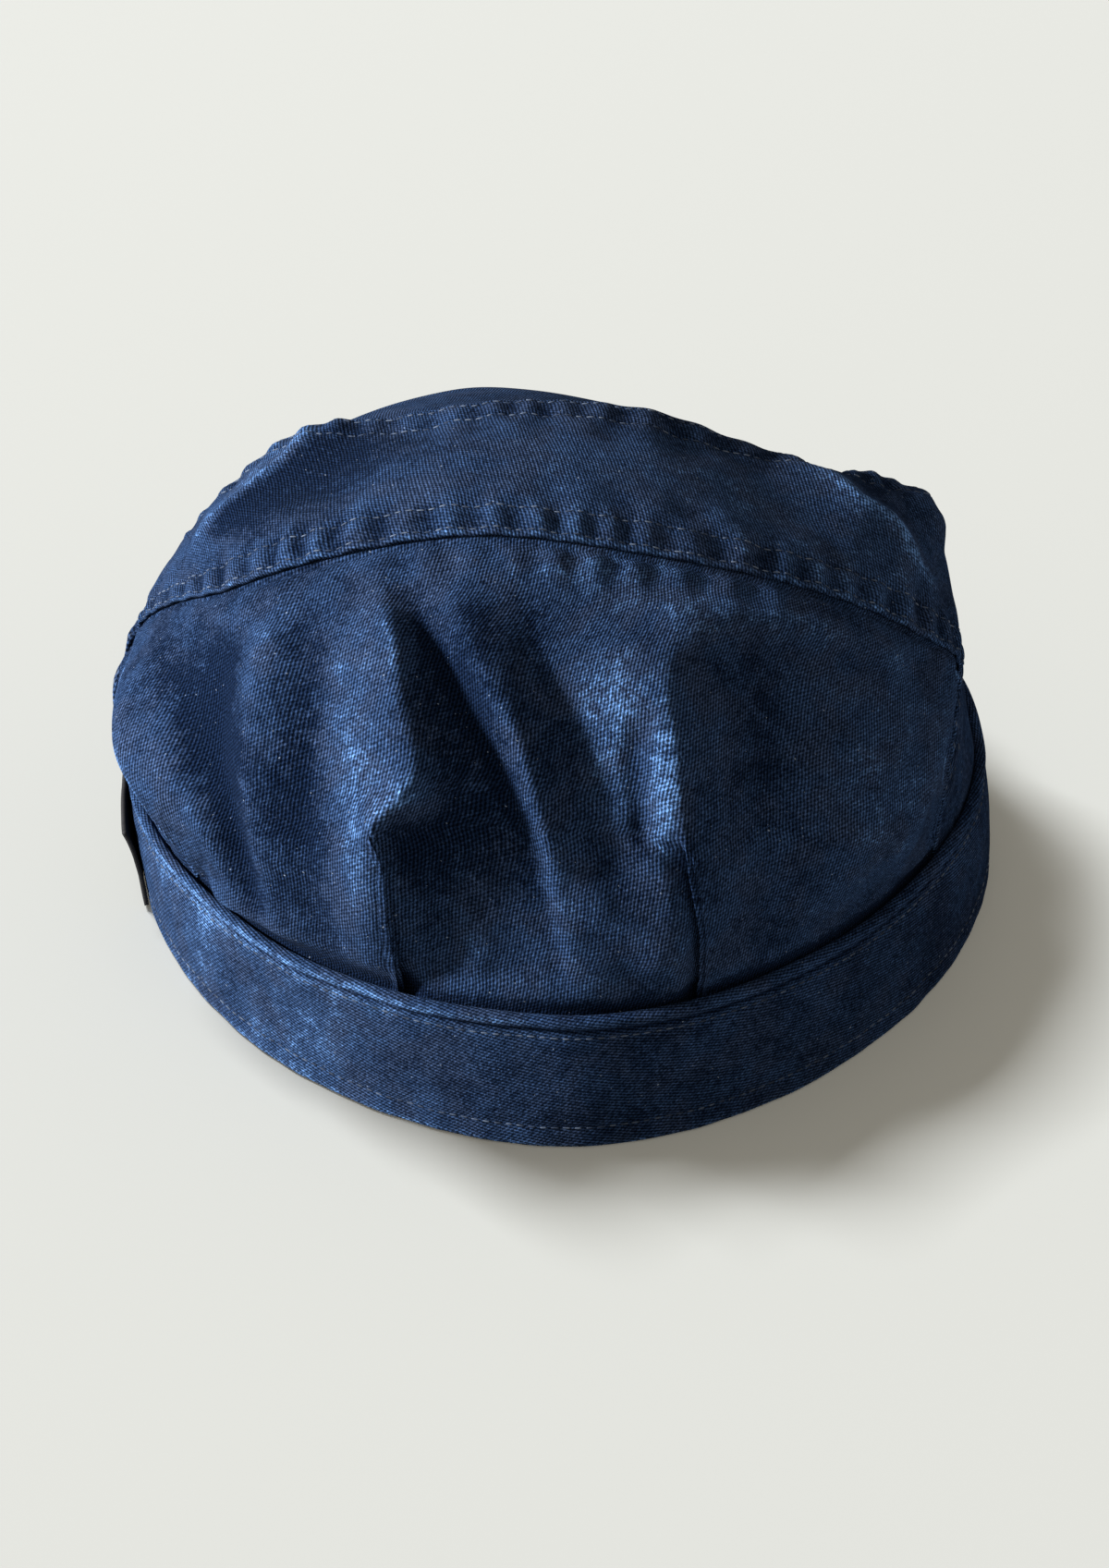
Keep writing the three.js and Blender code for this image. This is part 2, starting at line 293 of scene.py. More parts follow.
@dataclass(frozen=True)
class CrownForm:
    """Smooth crown without folds: across from ear to ear, and a place from front to back along a section.

    Places: 0 is the band in front, 1 the front seam, 2 the back seam and 3 the band behind.
    """

    band: BandForm = BandForm()
    strip_turn: float = 0.25
    strip_pull: float = 0.33
    back_turn: float = 0.33
    back_seam_pull: float = 0.42
    back_band_pull: float = 0.42
    front_turn: float = 0.62
    front_seam_pull: float = 0.25
    front_band_pull: float = 0.48
    lean_at_band: float = 0.22
    tuck: float = 7.0
    strip_width: float = 53.0
    seam_length: float = 300.0
    back_length: float = 106.0
    heart: Point = (0.0, 0.0, 38.0)
    dome: float = 88.0
    shift_left: float = 0.50
    shift_right: float = 0.08
    left_opens: Pair = (0.035, 0.15)
    left_closes: Pair = (0.115, 0.30)
    right_opens: Pair = (0.74, 0.82)
    right_closes: Pair = (0.84, 0.90)
    swell_height: float = 3.2
    swell_at: Pair = (0.115, 1.85)
    swell_reach: Pair = (0.045, 0.38)
    ear_zone: Pair = (0.04, 0.24)
    probe: float = 0.004
    probe_margin: float = 0.03
    sections: tuple[Section, ...] = (
        Section(None, None, -60, -112),
        Section((-95, -31, 54), (-89, 38, 46), -54, -119),
        Section((-84, -18, 74.5), (-81, 32, 67.5), -45, -130),
        Section((-61, -29, 97), (-56.5, 25, 94.5), -30, -147),
        Section((-22, -33, 109), (-22, 20, 106), -10, -170),
        Section((15, -33, 104.5), (14, 20, 105), 10, 170),
        Section((54, -29, 91), (54, 25, 88.5), 30, 147),
        Section((79.5, -19, 68.5), (75.5, 32, 74.5), 47, 131),
        Section((81.5, -23, 53), (81, 38, 51), 57, 122),
        Section(None, None, 65, 116),
    )

    @staticmethod
    def bend(ends: Sequence[Array], share: Array) -> Array:
        """Point of a cubic curve with the given ends and pulls, at a share of its run."""
        t = share[..., None]
        start, leave, arrive, end = ends
        early = (1 - t) ** 3 * start + 3 * (1 - t) ** 2 * t * leave
        return early + 3 * (1 - t) * t**2 * arrive + t**3 * end

    def rising(self, foot: Array) -> Array:
        """Direction in which the crown rises from the band at a point."""
        out = unit(np.array([foot[0], foot[1], 0.0])) * self.lean_at_band
        return unit(out + np.array([0.0, 0.0, 1.0]))

    def section_points(self, section: Section, place: Array) -> Array:
        """Points of one section at the given places.

        Args:
            section: the section.
            place: places from front to back.

        Returns:
            One point for each place.
        """
        back_turn, front_turn = math.radians(section.back_turn), math.radians(section.front_turn)
        over = np.clip(place - 1, 0, 1)
        if section.back_seam is None:
            return self.band.tucked(front_turn + (back_turn - front_turn) * over, 0.0)
        back_seam, front_seam = np.array(section.back_seam, float), np.array(section.front_seam, float)
        back_foot, front_foot = self.band.tucked(back_turn, 0.0), self.band.tucked(front_turn, 0.0)
        backwards = unit(back_seam - front_seam)
        to_back, to_front = unit(back_foot - back_seam), unit(front_foot - front_seam)

        def turned(line: Array, goal: Array, share: float) -> Array:
            """Direction between two others."""
            return unit(line * (1 - share) + goal * share)

        width = np.linalg.norm(back_seam - front_seam)
        drop_back = np.linalg.norm(back_foot - back_seam)
        drop_front = np.linalg.norm(front_foot - front_seam)
        strip = self.bend((
            front_seam,
            front_seam - turned(-backwards, to_front, self.strip_turn) * width * self.strip_pull,
            back_seam - turned(backwards, to_back, self.strip_turn) * width * self.strip_pull,
            back_seam,
        ), over)
        back = self.bend((
            back_seam,
            back_seam + turned(backwards, to_back, self.back_turn) * drop_back * self.back_seam_pull,
            back_foot + self.rising(back_foot) * drop_back * self.back_band_pull,
            back_foot,
        ), np.clip(place - 2, 0, 1))
        front = self.bend((
            front_seam,
            front_seam + turned(-backwards, to_front, self.front_turn) * drop_front * self.front_seam_pull,
            front_foot + self.rising(front_foot) * drop_front * self.front_band_pull,
            front_foot,
        ), np.clip(1 - place, 0, 1))
        return np.where(place[..., None] < 1, front, np.where(place[..., None] <= 2, strip, back))

    def smooth(self, across: Array, place: Array) -> Array:
        """Points of the crown between the ears and the band's top edge.

        Args:
            across: shares from the left ear to the right ear.
            place: places from front to back.

        Returns:
            One point for each pair.
        """
        across, place = np.broadcast_arrays(np.asarray(across, float), np.asarray(place, float))
        rows = np.stack([self.section_points(section, place) for section in self.sections])
        knots = np.concatenate([2 * rows[:1] - rows[1:2], rows, 2 * rows[-1:] - rows[-2:-1]])
        position = np.clip(across, 0, 1) * (len(self.sections) - 1)
        start = np.minimum(position.astype(int), len(self.sections) - 2)
        t = (position - start)[..., None]
        spot = tuple(np.indices(across.shape))
        before, here, after, beyond = (knots[(start + step,) + spot] for step in range(4))
        bowed = 2 * before - 5 * here + 4 * after - beyond
        curled = 3 * here - before - 3 * after + beyond
        return 0.5 * (2 * here + (after - before) * t + bowed * t**2 + curled * t**3)

    def points(self, across: Array, place: Array) -> Array:
        """Points of the crown, tucked down inside the band past its ends."""
        across, place = np.broadcast_arrays(np.asarray(across, float), np.asarray(place, float))
        points = self.smooth(across, np.clip(place, 0, 3))
        past = np.maximum.reduce([-across, across - 1, -place, place - 3, np.zeros(across.shape)])
        tucked = self.band.tucked(np.arctan2(points[..., 0], -points[..., 1]), past * self.tuck)
        return np.where(past[..., None] > 0, tucked, points)

    def seam_shift(self, across: Array) -> Array:
        """How far the back seam runs to the front beside the ears, as a share of the strip."""
        left = window(across, self.left_opens, self.left_closes)
        right = window(across, self.right_opens, self.right_closes)
        return self.shift_left * left + self.shift_right * right

    def ear_swell(self, across: Array, place: Array) -> Array:
        """How far the cloth swells out over the left ear, in millimetres."""
        sideways = (across - self.swell_at[0]) / self.swell_reach[0]
        lengthways = (place - self.swell_at[1]) / self.swell_reach[1]
        return self.swell_height * np.exp(-(sideways**2) - lengthways**2)

    def off_ears(self, across: Array) -> Array:
        """Share from 0 at the ears to 1 over most of the crown."""
        return smooth_step(across, *self.ear_zone) * smooth_step(1 - across, *self.ear_zone)

    def lifted(self, across: Array, place: Array, lift: Array) -> Array:
        """Points some way straight out of the crown, in millimetres."""
        return self.points(across, place) + lift[..., None] * self.outward(across, np.clip(place, 0, 3))

    def outward(self, across: Array, place: Array) -> Array:
        """Directions straight out of the smooth crown.

        Args:
            across: shares from the left ear to the right ear.
            place: places from front to back.

        Returns:
            One unit vector for each pair.
        """
        step = self.probe
        across = np.clip(across, self.probe_margin, 1 - self.probe_margin)
        place = np.clip(place, step, 3 - step)
        sideways = self.smooth(across + step, place) - self.smooth(across - step, place)
        lengthways = self.smooth(across, place + step) - self.smooth(across, place - step)
        normal = unit(np.cross(lengthways, sideways))
        away = self.smooth(across, place) - np.array(self.heart)
        facing = np.sign((normal * away).sum(axis=-1, keepdims=True))
        return normal * np.where(facing == 0, 1, facing)


@dataclass(frozen=True)
class Fold:
    """Fold of a panel along a path of (across, down) places.

    Height is outwards in millimetres. Left and right are the half widths on the two sides of the path, seen
    from outside with the path running down. Taper is what is left of them at its end, ends the share of the
    path over which it fades at each end, and crest the roundness of a crease's top in millimetres.
    """

    name: str
    path: tuple[Pair, ...]
    height: float
    left: float
    right: float
    taper: float = 1.0
    ends: float = 0.25
    shape: FoldShape = FoldShape.SOFT
    crest: float = 1.2

    def heights(self, across: Array, down: Array, scale: Pair) -> Array:
        """Height of the fold at places on the panel.

        Args:
            across: shares across the panel.
            down: shares down the panel.
            scale: width and length of the panel, in millimetres.

        Returns:
            One height for each place.
        """
        knots = np.array(self.path) * np.array(scale)
        runs = np.linalg.norm(np.diff(knots, axis=0), axis=1)
        passed = np.concatenate([[0.0], np.cumsum(runs)])
        spot = np.stack([across * scale[0], down * scale[1]], axis=-1)
        best = np.full(np.shape(across), np.inf)
        share = np.zeros(np.shape(across))
        width = np.full(np.shape(across), self.left)
        for index, run in enumerate(runs):
            line = (knots[index + 1] - knots[index]) / run
            offset = spot - knots[index]
            along = np.clip((offset * line).sum(axis=-1), 0, run)
            distance = np.linalg.norm(offset - along[..., None] * line, axis=-1)
            to_right = line[1] * offset[..., 0] - line[0] * offset[..., 1]
            width = np.where(distance < best, np.where(to_right > 0, self.right, self.left), width)
            share = np.where(distance < best, (passed[index] + along) / passed[-1], share)
            best = np.minimum(best, distance)
        fade = smooth_step(share, 0, self.ends) * smooth_step(1 - share, 0, self.ends)
        width = width * (1 + (self.taper - 1) * share)
        if self.shape is FoldShape.SOFT:
            section = swell(best, width)
        else:
            section = np.exp(-(np.hypot(best, self.crest) - self.crest) / width)
        return self.height * fade * section


@dataclass(frozen=True)
class CrownCreases:
    """Creases over the top of the crown, from the front panel over the strip.

    Their paths are places across the crown, and ways back from the front seam as shares of the strip.
    """

    folds: tuple[Fold, ...] = (
        Fold("left crease", (
            (0.375, -0.12), (0.363, 0.0), (0.328, 0.28), (0.296, 0.50), (0.258, 0.64), (0.225, 0.72),
        ), 3.6, 15.0, 5.0, taper=0.9, ends=0.3, shape=FoldShape.CREASED, crest=0.6),
        Fold("right crease", (
            (0.625, -0.10), (0.640, 0.05), (0.684, 0.395), (0.709, 0.47), (0.731, 0.63), (0.77, 0.78),
        ), 3.8, 8.0, 9.0, taper=0.8, ends=0.35, shape=FoldShape.CREASED, crest=0.6),
        Fold("right corner", ((0.735, 0.05), (0.768, 0.25), (0.80, 0.40)), 4.0, 10.0, 10.0, ends=0.4),
        Fold("hollow by left crease", ((0.425, -0.1), (0.405, 0.15), (0.370, 0.45), (0.335, 0.75)),
             -2.4, 12.0, 12.0, ends=0.3),
        Fold("hollow by right crease", ((0.585, -0.1), (0.61, 0.2), (0.64, 0.5), (0.67, 0.8)),
             -2.0, 11.0, 11.0, ends=0.3),
        Fold("right fall", ((0.62, -0.35), (0.67, -0.05), (0.70, 0.10)), -3.5, 12.0, 12.0, ends=0.3),
    )

    def heights(self, crown: CrownForm, across: Array, place: Array) -> Array:
        """Height of the creases at places on the crown, in millimetres."""
        scale = (crown.seam_length, crown.strip_width)
        return sum(fold.heights(across, place - 1, scale) for fold in self.folds)


@dataclass(frozen=True)
class DrapeLine:
    """Crest or valley line of draped cloth: (down, across, height) at places down the panel."""

    name: str
    path: tuple[Point, ...]

    def at(self, down: Array) -> tuple[Array, Array]:
        """Place across the panel and height of the line, at places down it."""
        downs, places, heights = np.array(self.path).T
        return np.interp(down, downs, places), np.interp(down, downs, heights)


@dataclass(frozen=True)
class Drape:
    """Folds of hanging cloth, from each crest or valley line to the next one across.

    Swing is 0 for straight faces between the lines and 1 for faces that are level at them.
    """

    lines: tuple[DrapeLine, ...]
    swing: float = 0.45

    def heights(self, across: Array, down: Array) -> Array:
        """Height of the folds at places on the panel.

        Args:
            across: shares across the panel.
            down: shares down the panel.

        Returns:
            One height for each place, in millimetres.
        """
        lines = [line.at(down) for line in self.lines]
        total = np.zeros(np.shape(across))
        for (place, height), (next_place, next_height) in zip(lines, lines[1:]):
            inside = (across >= place) & (across < next_place)
            share = np.clip((across - place) / (next_place - place), 0.0, 1.0)
            share = share + self.swing * (smooth_step(share, 0.0, 1.0) - share)
            total = np.where(inside, height + (next_height - height) * share, total)
        return total


@dataclass(frozen=True)
class Pleat:
    """Pleat at the band: the path of its fold's edge as (down, across) places, and how it is laid.

    Opens is 1 where the pocket lies to the right of the edge. Lap is the cloth folded under, and depth is
    how far the under layer lies below the outer one at the pleat's top and at the band.
    """

    name: str
    edge: tuple[Pair, ...]
    opens: int
    starts: float
    full: float
    lap: float
    depth_top: float
    depth_band: float
    pocket: float

    def edge_at(self, down: Array) -> Array:
        """Place of the fold's edge across the panel, at places down it."""
        return np.interp(down, [d for d, _ in self.edge], [a for _, a in self.edge])

    def closed(self, down: Array) -> Array:
        """How far the pleat is laid over, from 0 to 1."""
        return smooth_step(down, self.starts, self.full)

    def depth(self, down: Array) -> Array:
        """Depth of the under layer, at places down the panel."""
        fall = smooth_step(down, self.full, 1.0)
        return self.closed(down) * (self.depth_top + (self.depth_band - self.depth_top) * fall)


@dataclass(frozen=True)
class WearAndPaintedLightPatch:
    """Soft patch that pales cloth, or darkens it at negative strength: for wear, painted highlights and
    painted shade.
    """

    middle: Pair
    reach: Pair
    strength: float

    def at(self, across: Array, down: Array) -> Array:
        """Strength of the patch at places on the panel."""
        sideways = (across - self.middle[0]) / self.reach[0]
        downwards = (down - self.middle[1]) / self.reach[1]
        return self.strength * np.exp(-(sideways**2 + downwards**2))


@dataclass(frozen=True)
class Pucker:
    """Small swells that a row of stitches draws up along a seam.

    They wander to and fro by drift radians, and vary by a share of their height.
    """

    pitch: float
    height: float
    reach: float
    seed: int
    drift: float = 1.7
    drift_run: float = 2.6
    mean: float = 0.75
    vary: float = 0.4
    vary_run: float = 1.7
    vary_row: float = 7.0

    def heights(self, along: Array, away: Array) -> Array:
        """Height of the puckers along a seam and away from it, in millimetres."""
        noise = SoftNoise(self.seed)
        shift = self.drift * noise.at(along, np.zeros_like(along), self.drift_run * self.pitch)
        vary = self.vary * noise.at(along, np.full_like(along, self.vary_row), self.vary_run * self.pitch)
        waves = np.sin(2 * math.pi * along / self.pitch + shift)
        return self.height * (self.mean + vary) * waves * swell(away, self.reach)


# Meshes


def select_only(*objects: bpy.types.Object) -> None:
    """Select these objects alone, with the first one active."""
    bpy.ops.object.select_all(action="DESELECT")
    for each in objects:
        each.select_set(True)
    bpy.context.view_layer.objects.active = objects[0] if objects else None


def apply_modifier(piece: bpy.types.Object, kind: str, **settings: object) -> None:
    """Add a modifier with the given settings and apply it.

    Args:
        piece: the object.
        kind: the modifier's type.
        settings: values of its properties.
    """
    select_only(piece)
    modifier = piece.modifiers.new(kind.title(), kind)
    for name, value in settings.items():
        setattr(modifier, name, value)
    bpy.ops.object.modifier_apply(modifier=modifier.name)


@dataclass
class ClothGrid:
    """A grid of cloth: its points, its flat places for the weave, and its wear with any painted light and
    shade.

    Points are (columns, rows, 3) in millimetres around the rim's middle, with columns and rows turning
    counter-clockwise seen from outside.
    """

    name: str
    points: Array
    flat: Array
    wear_and_painted_light: Array

    def build(self, wall: Optional[float] = None, ring: bool = False) -> bpy.types.Object:
        """Make the mesh: a grid primitive whose corners are moved to the points.

        Args:
            wall: thickness that is given to the cloth inwards, in millimetres.
            ring: whether both ends of the columns and of the rows are sewn together.

        Returns:
            The finished object.
        """
        columns, rows = self.points.shape[:2]
        bpy.ops.object.select_all(action="DESELECT")
        bpy.ops.mesh.primitive_grid_add(x_subdivisions=columns - 1, y_subdivisions=rows - 1, size=1)
        piece = bpy.context.object
        piece.name = piece.data.name = self.name
        mesh = piece.data
        places = CapFrame().metres(self.points).transpose(1, 0, 2)
        mesh.vertices.foreach_set("co", places.reshape(-1))
        corner = np.empty(len(mesh.loops), dtype=int)
        mesh.loops.foreach_get("vertex_index", corner)
        layer = mesh.uv_layers[0]
        layer.name = CLOTH_MAP
        flat = self.flat.transpose(1, 0, 2).reshape(-1, 2)
        layer.data.foreach_set("uv", flat[corner].reshape(-1))
        worn_and_highlight = mesh.attributes.new(WEAR_AND_LIGHT, "FLOAT", "POINT")
        worn_and_highlight.data.foreach_set("value", np.clip(self.wear_and_painted_light, -1, 1).transpose(1, 0).reshape(-1))
        mesh.update()
        if ring:
            select_only(piece)
            bpy.ops.object.mode_set(mode="EDIT")
            bpy.ops.mesh.select_all(action="SELECT")
            bpy.ops.mesh.remove_doubles(threshold=WELD * MM)
            bpy.ops.mesh.fill_holes(sides=0)
            bpy.ops.object.mode_set(mode="OBJECT")
        if wall:
            apply_modifier(piece, "SOLIDIFY", thickness=wall * MM, offset=-1.0)
        select_only(piece)
        bpy.ops.object.shade_smooth()
        return piece


def flat_places(points: Array) -> Array:
    """Flat place of each corner of a grid: its way across the middle row, and its way along its column."""
    middle = points[:, points.shape[1] // 2]
    across = np.concatenate([[0.0], np.cumsum(np.linalg.norm(np.diff(middle, axis=0), axis=-1))])
    steps = np.linalg.norm(np.diff(points, axis=1), axis=-1)
    along = np.concatenate([np.zeros((len(points), 1)), np.cumsum(steps, axis=1)], axis=1)
    return np.stack([np.broadcast_to(across[:, None], along.shape), along], axis=-1)


def domed_places(points: Array, crown: CrownForm, facing: Point) -> Array:
    """Flat place of each corner of a domed panel, laid out around its middle as a globe is on a map.

    Args:
        points: the grid of points.
        crown: the crown, whose heart lies inside the dome.
        facing: direction from its heart to the panel's middle, with no part along X.

    Returns:
        Two millimetres for each corner: across, and up the panel.
    """
    axis = unit(np.array(facing, float))
    across = np.array([1.0, 0.0, 0.0])
    up = np.cross(across, axis)
    rays = unit(points - np.array(crown.heart))
    turn = np.arccos(np.clip(rays @ axis, -1, 1))
    sideways, upwards = rays @ across, rays @ up
    share = crown.dome * turn / np.maximum(np.hypot(sideways, upwards), TINY)
    return np.stack([sideways * share, upwards * share], axis=-1)


@dataclass(frozen=True)
class RidgeWear:
    """Wear of a grid's ridges, by how far each corner stands out from its surroundings.

    Reach is how many corners away the surroundings are, and full the height in millimetres of full wear.
    """

    strength: float
    reach: int
    full: float

    def at(self, points: Array) -> Array:
        """How worn each corner is, below 0 in a hollow and above 0 on a ridge."""
        reach = self.reach
        padded = np.pad(points, ((reach, reach), (reach, reach), (0, 0)), mode="edge")
        inner = slice(reach, -reach)
        wide = slice(2 * reach, None)
        narrow = slice(None, -2 * reach)
        around = padded[inner, narrow] + padded[inner, wide] + padded[narrow, inner] + padded[wide, inner]
        proud = ((points - around / 4) * grid_normals(points)).sum(axis=-1)
        return self.strength * np.clip(proud / self.full, -1.0, 1.0)


@dataclass(frozen=True)
class WearAndPaintedLightLine:
    """Line of wear, painted highlight or painted shade: its strength, its way from an edge or a start, and
    its width.
    """

    strength: float
    away: float
    width: float

    def at(self, way: Array) -> Array:
        """Strength of the line, at ways from the edge."""
        return self.strength * swell(way - self.away, self.width)


def dress(piece: bpy.types.Object, slot: Slot, material: bpy.types.Material, *nodes: str) -> None:
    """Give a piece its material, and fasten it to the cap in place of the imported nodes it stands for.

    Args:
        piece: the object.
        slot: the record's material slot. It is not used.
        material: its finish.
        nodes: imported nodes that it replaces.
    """
    piece.data.materials.clear()
    piece.data.materials.append(material)
    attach(piece, BODY)
    if nodes:
        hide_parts(*nodes)
    log.info("%s: %d faces", piece.name, len(piece.data.polygons))


# Finishes


class NodeBench:
    """Adds and links the nodes of one material."""

    def __init__(self, name: str) -> None:
        """Start a material with an empty node tree."""
        self.material = bpy.data.materials.new(name)
        self.material.use_nodes = True
        self.tree = self.material.node_tree
        self.tree.nodes.clear()

    def add(self, kind: str, inputs: Optional[dict] = None, **settings: object) -> bpy.types.Node:
        """Add a node.

        Args:
            kind: the node's type, without its prefix.
            inputs: values or sockets for its inputs, by name or index.
            settings: values of its properties.

        Returns:
            The node.
        """
        node = self.tree.nodes.new("ShaderNode" + kind)
        for name, value in settings.items():
            setattr(node, name, value)
        for name, value in (inputs or {}).items():
            if isinstance(value, bpy.types.NodeSocket):
                self.tree.links.new(value, node.inputs[name])
            else:
                node.inputs[name].default_value = value
        return node

    def math(self, operation: str, first: object, second: object = 0.0, clamp: bool = False) -> object:
        """Socket with the result of a sum on one or two values or sockets."""
        return self.add("Math", {0: first, 1: second}, operation=operation, use_clamp=clamp).outputs[0]

    def weighed(self, *terms: tuple[object, object]) -> object:
        """Socket with the sum of values, each times its share."""
        total: object = 0.0
        for value, share in terms:
            total = self.math("ADD", total, self.math("MULTIPLY", value, share))
        return total

    def ramp(self, value: object, low: float, high: float,
             to_low: float = 0.0, to_high: float = 1.0) -> object:
        """Socket with a value moved smoothly from one range to another, and held at its ends."""
        inputs = {"Value": value, "From Min": low, "From Max": high, "To Min": to_low, "To Max": to_high}
        return self.add("MapRange", inputs, interpolation_type="SMOOTHSTEP").outputs["Result"]

    def times(self, vector: object, factor: object) -> object:
        """Socket with a vector or colour times another."""
        return self.add("VectorMath", {0: vector, 1: factor}, operation="MULTIPLY").outputs[0]

    def phase(self, places: object, across: float, along: float) -> object:
        """Socket with the phase of waves, from their turns in each millimetre across and along."""
        turn = (2 * math.pi * across, 2 * math.pi * along, 0.0)
        return self.add("VectorMath", {0: places, 1: turn}, operation="DOT_PRODUCT").outputs["Value"]

    def bumped(self, height: object, strength: float, depth: float) -> object:
        """Socket with normals that are bent by a height, whose depth is in millimetres."""
        return self.add("Bump", {"Height": height, "Strength": strength, "Distance": depth * MM}).outputs[0]

    def blend(self, share: object, first: object, second: object) -> object:
        """Socket with a colour between two others."""
        inputs = {"Factor": share, 6: first, 7: second}
        return self.add("Mix", inputs, data_type="RGBA").outputs[2]

    def finish(self, inputs: dict) -> bpy.types.Material:
        """Cover the material with a shader that has the given inputs, and return it."""
        shader = self.add("BsdfPrincipled", inputs)
        self.add("OutputMaterial", {"Surface": shader.outputs[0]})
        return self.material


def opaque(colour: Colour) -> tuple[float, float, float, float]:
    """Colour with full cover."""
    return (*colour, 1.0)


@dataclass(frozen=True)
class Mottle:
    """Uneven patches from noise: its scale, detail and roughness, and a range that is moved to another."""

    scale: float
    detail: float = 2.0
    roughness: float = 0.55
    low: float = 0.0
    high: float = 1.0
    to_low: float = 0.0
    to_high: float = 1.0

    def plain(self, bench: NodeBench, places: object) -> object:
        """Socket with the noise as it comes, from 0 to 1."""
        inputs = {"Vector": places, "Scale": self.scale, "Detail": self.detail, "Roughness": self.roughness}
        return bench.add("TexNoise", inputs).outputs[0]

    def moved(self, bench: NodeBench, places: object) -> object:
        """Socket with the noise moved to its range."""
        return bench.ramp(self.plain(bench, places), self.low, self.high, self.to_low, self.to_high)


@dataclass(frozen=True)
class WashedCloth:
    """Washed cotton: a weave of crossing threads, faded in clouds and worn pale on its ridges and edges.

    The weave is given as two waves, in turns for each millimetre across and along the cloth. Clouds,
    blotches and yarns fade it by their shares, the wear attribute fades it in spots, and fade is added
    everywhere. On some pieces that attribute also holds painted highlights, which pale the cloth towards the
    worn colour, and painted shade, which darkens it towards the deep colour.
    """

    name: str
    deep: Colour = (0.0038, 0.0085, 0.0230)
    washed: Colour = (0.0172, 0.0355, 0.0840)
    greyed: Colour = (0.0200, 0.0340, 0.0730)
    # Colour of worn cloth, which painted highlights also pale towards
    worn_and_highlight: Colour = (0.0700, 0.1480, 0.3200)
    lint: Colour = (0.26, 0.32, 0.42)
    waves: tuple[Pair, Pair] = ((1.35, 0.24), (0.45, 1.15))
    wave_shares: Pair = (0.6, 0.4)
    wander: float = 9.0
    wandering: Mottle = Mottle(0.08)
    weave_range: Pair = (0.15, 0.9)
    gap: float = 0.30
    top: float = 1.68
    yarn: Mottle = Mottle(1.0, roughness=0.6)
    yarn_ways: tuple[Point, Point] = ((1.9, 0.5, 1.0), (0.5, 1.9, 1.0))
    yarn_range: Pair = (0.75, 1.28)
    yarn_share: float = 0.30
    clouds: Mottle = Mottle(0.05, 4.0, 0.6, 0.34, 0.68)
    cloud_share: float = 0.22
    blotches: Mottle = Mottle(0.24, 4.0, 0.7, 0.32, 0.70)
    blotch_share: float = 0.22
    spots: Mottle = Mottle(0.42, 3.0, 0.75, 0.34, 0.68, 0.32, 0.88)
    fade: float = 0.0
    hues: Mottle = Mottle(0.09, low=0.42, high=0.62)
    washed_range: Pair = (0.05, 0.62)
    worn_and_highlight_range: Pair = (0.6, 1.25)
    grain: Mottle = Mottle(1.5, 1.0, low=0.3, high=0.72, to_low=0.60, to_high=1.45)
    specks: Mottle = Mottle(1.1, 1.0, low=0.745, high=0.80, to_high=0.6)
    nap: Mottle = Mottle(0.8, 3.0, 0.6)
    weave_bump: float = 0.7
    yarn_bump: float = 0.4
    nap_bump: float = 1.1
    bump: float = 0.8
    relief: float = 0.24
    rough: float = 0.95
    sheen: float = 0.02
    sheen_rough: float = 0.5
    sheen_tint: Colour = (0.45, 0.62, 1.0)

    def material(self) -> bpy.types.Material:
        """Make the material.

        Returns:
            The material.
        """
        bench = NodeBench(self.name)
        places = bench.add("UVMap", uv_map=CLOTH_MAP).outputs["UV"]
        wear_and_painted_light = bench.add("Attribute", attribute_name=WEAR_AND_LIGHT).outputs["Fac"]
        yarns = self.yarns(bench, places)
        weave = self.weave(bench, places)
        faded = bench.weighed(
            (self.clouds.moved(bench, places), self.cloud_share),
            (self.blotches.moved(bench, places), self.blotch_share),
            (yarns, self.yarn_share),
            # Wear together with painted highlights, and painted shade where the attribute is negative
            (wear_and_painted_light, self.spots.moved(bench, places)),
        )
        faded = bench.math("ADD", faded, self.fade)
        washed = bench.blend(self.hues.moved(bench, places), opaque(self.washed), opaque(self.greyed))
        colour = bench.blend(bench.ramp(faded, *self.washed_range), opaque(self.deep), washed)
        colour = bench.blend(bench.ramp(faded, *self.worn_and_highlight_range), colour, opaque(self.worn_and_highlight))
        threads = bench.ramp(weave, *self.weave_range, self.gap, self.top)
        colour = bench.times(colour, bench.math("MULTIPLY", threads, self.grain.moved(bench, places)))
        colour = bench.blend(self.specks.moved(bench, places), colour, opaque(self.lint))
        nap = self.nap.plain(bench, places)
        height = bench.weighed((weave, self.weave_bump), (yarns, self.yarn_bump), (nap, self.nap_bump))
        return bench.finish({
            "Base Color": colour, "Roughness": self.rough, "Specular IOR Level": 0.0,
            "Sheen Weight": self.sheen, "Sheen Roughness": self.sheen_rough,
            "Sheen Tint": opaque(self.sheen_tint), "Normal": bench.bumped(height, self.bump, self.relief),
        })

    def yarns(self, bench: NodeBench, places: object) -> object:
        """Socket with the unevenness of the yarns along both ways of the cloth, from 0 to 1."""
        first, second = (self.yarn.plain(bench, bench.times(places, way)) for way in self.yarn_ways)
        return bench.ramp(bench.math("ADD", first, second), *self.yarn_range)

    def weave(self, bench: NodeBench, places: object) -> object:
        """Socket with the height of the weave, from 0 to 1.

        Args:
            bench: the material's nodes.
            places: socket with places on the flat cloth.

        Returns:
            The socket.
        """
        shift = bench.math("MULTIPLY", self.wandering.plain(bench, places), self.wander)
        rows = []
        for (across, along), share in zip(self.waves, self.wave_shares):
            phase = bench.math("ADD", bench.phase(places, across, along), shift)
            rows.append((bench.math("SINE", phase), share))
        return bench.ramp(bench.weighed(*rows), -1.0, 1.0)


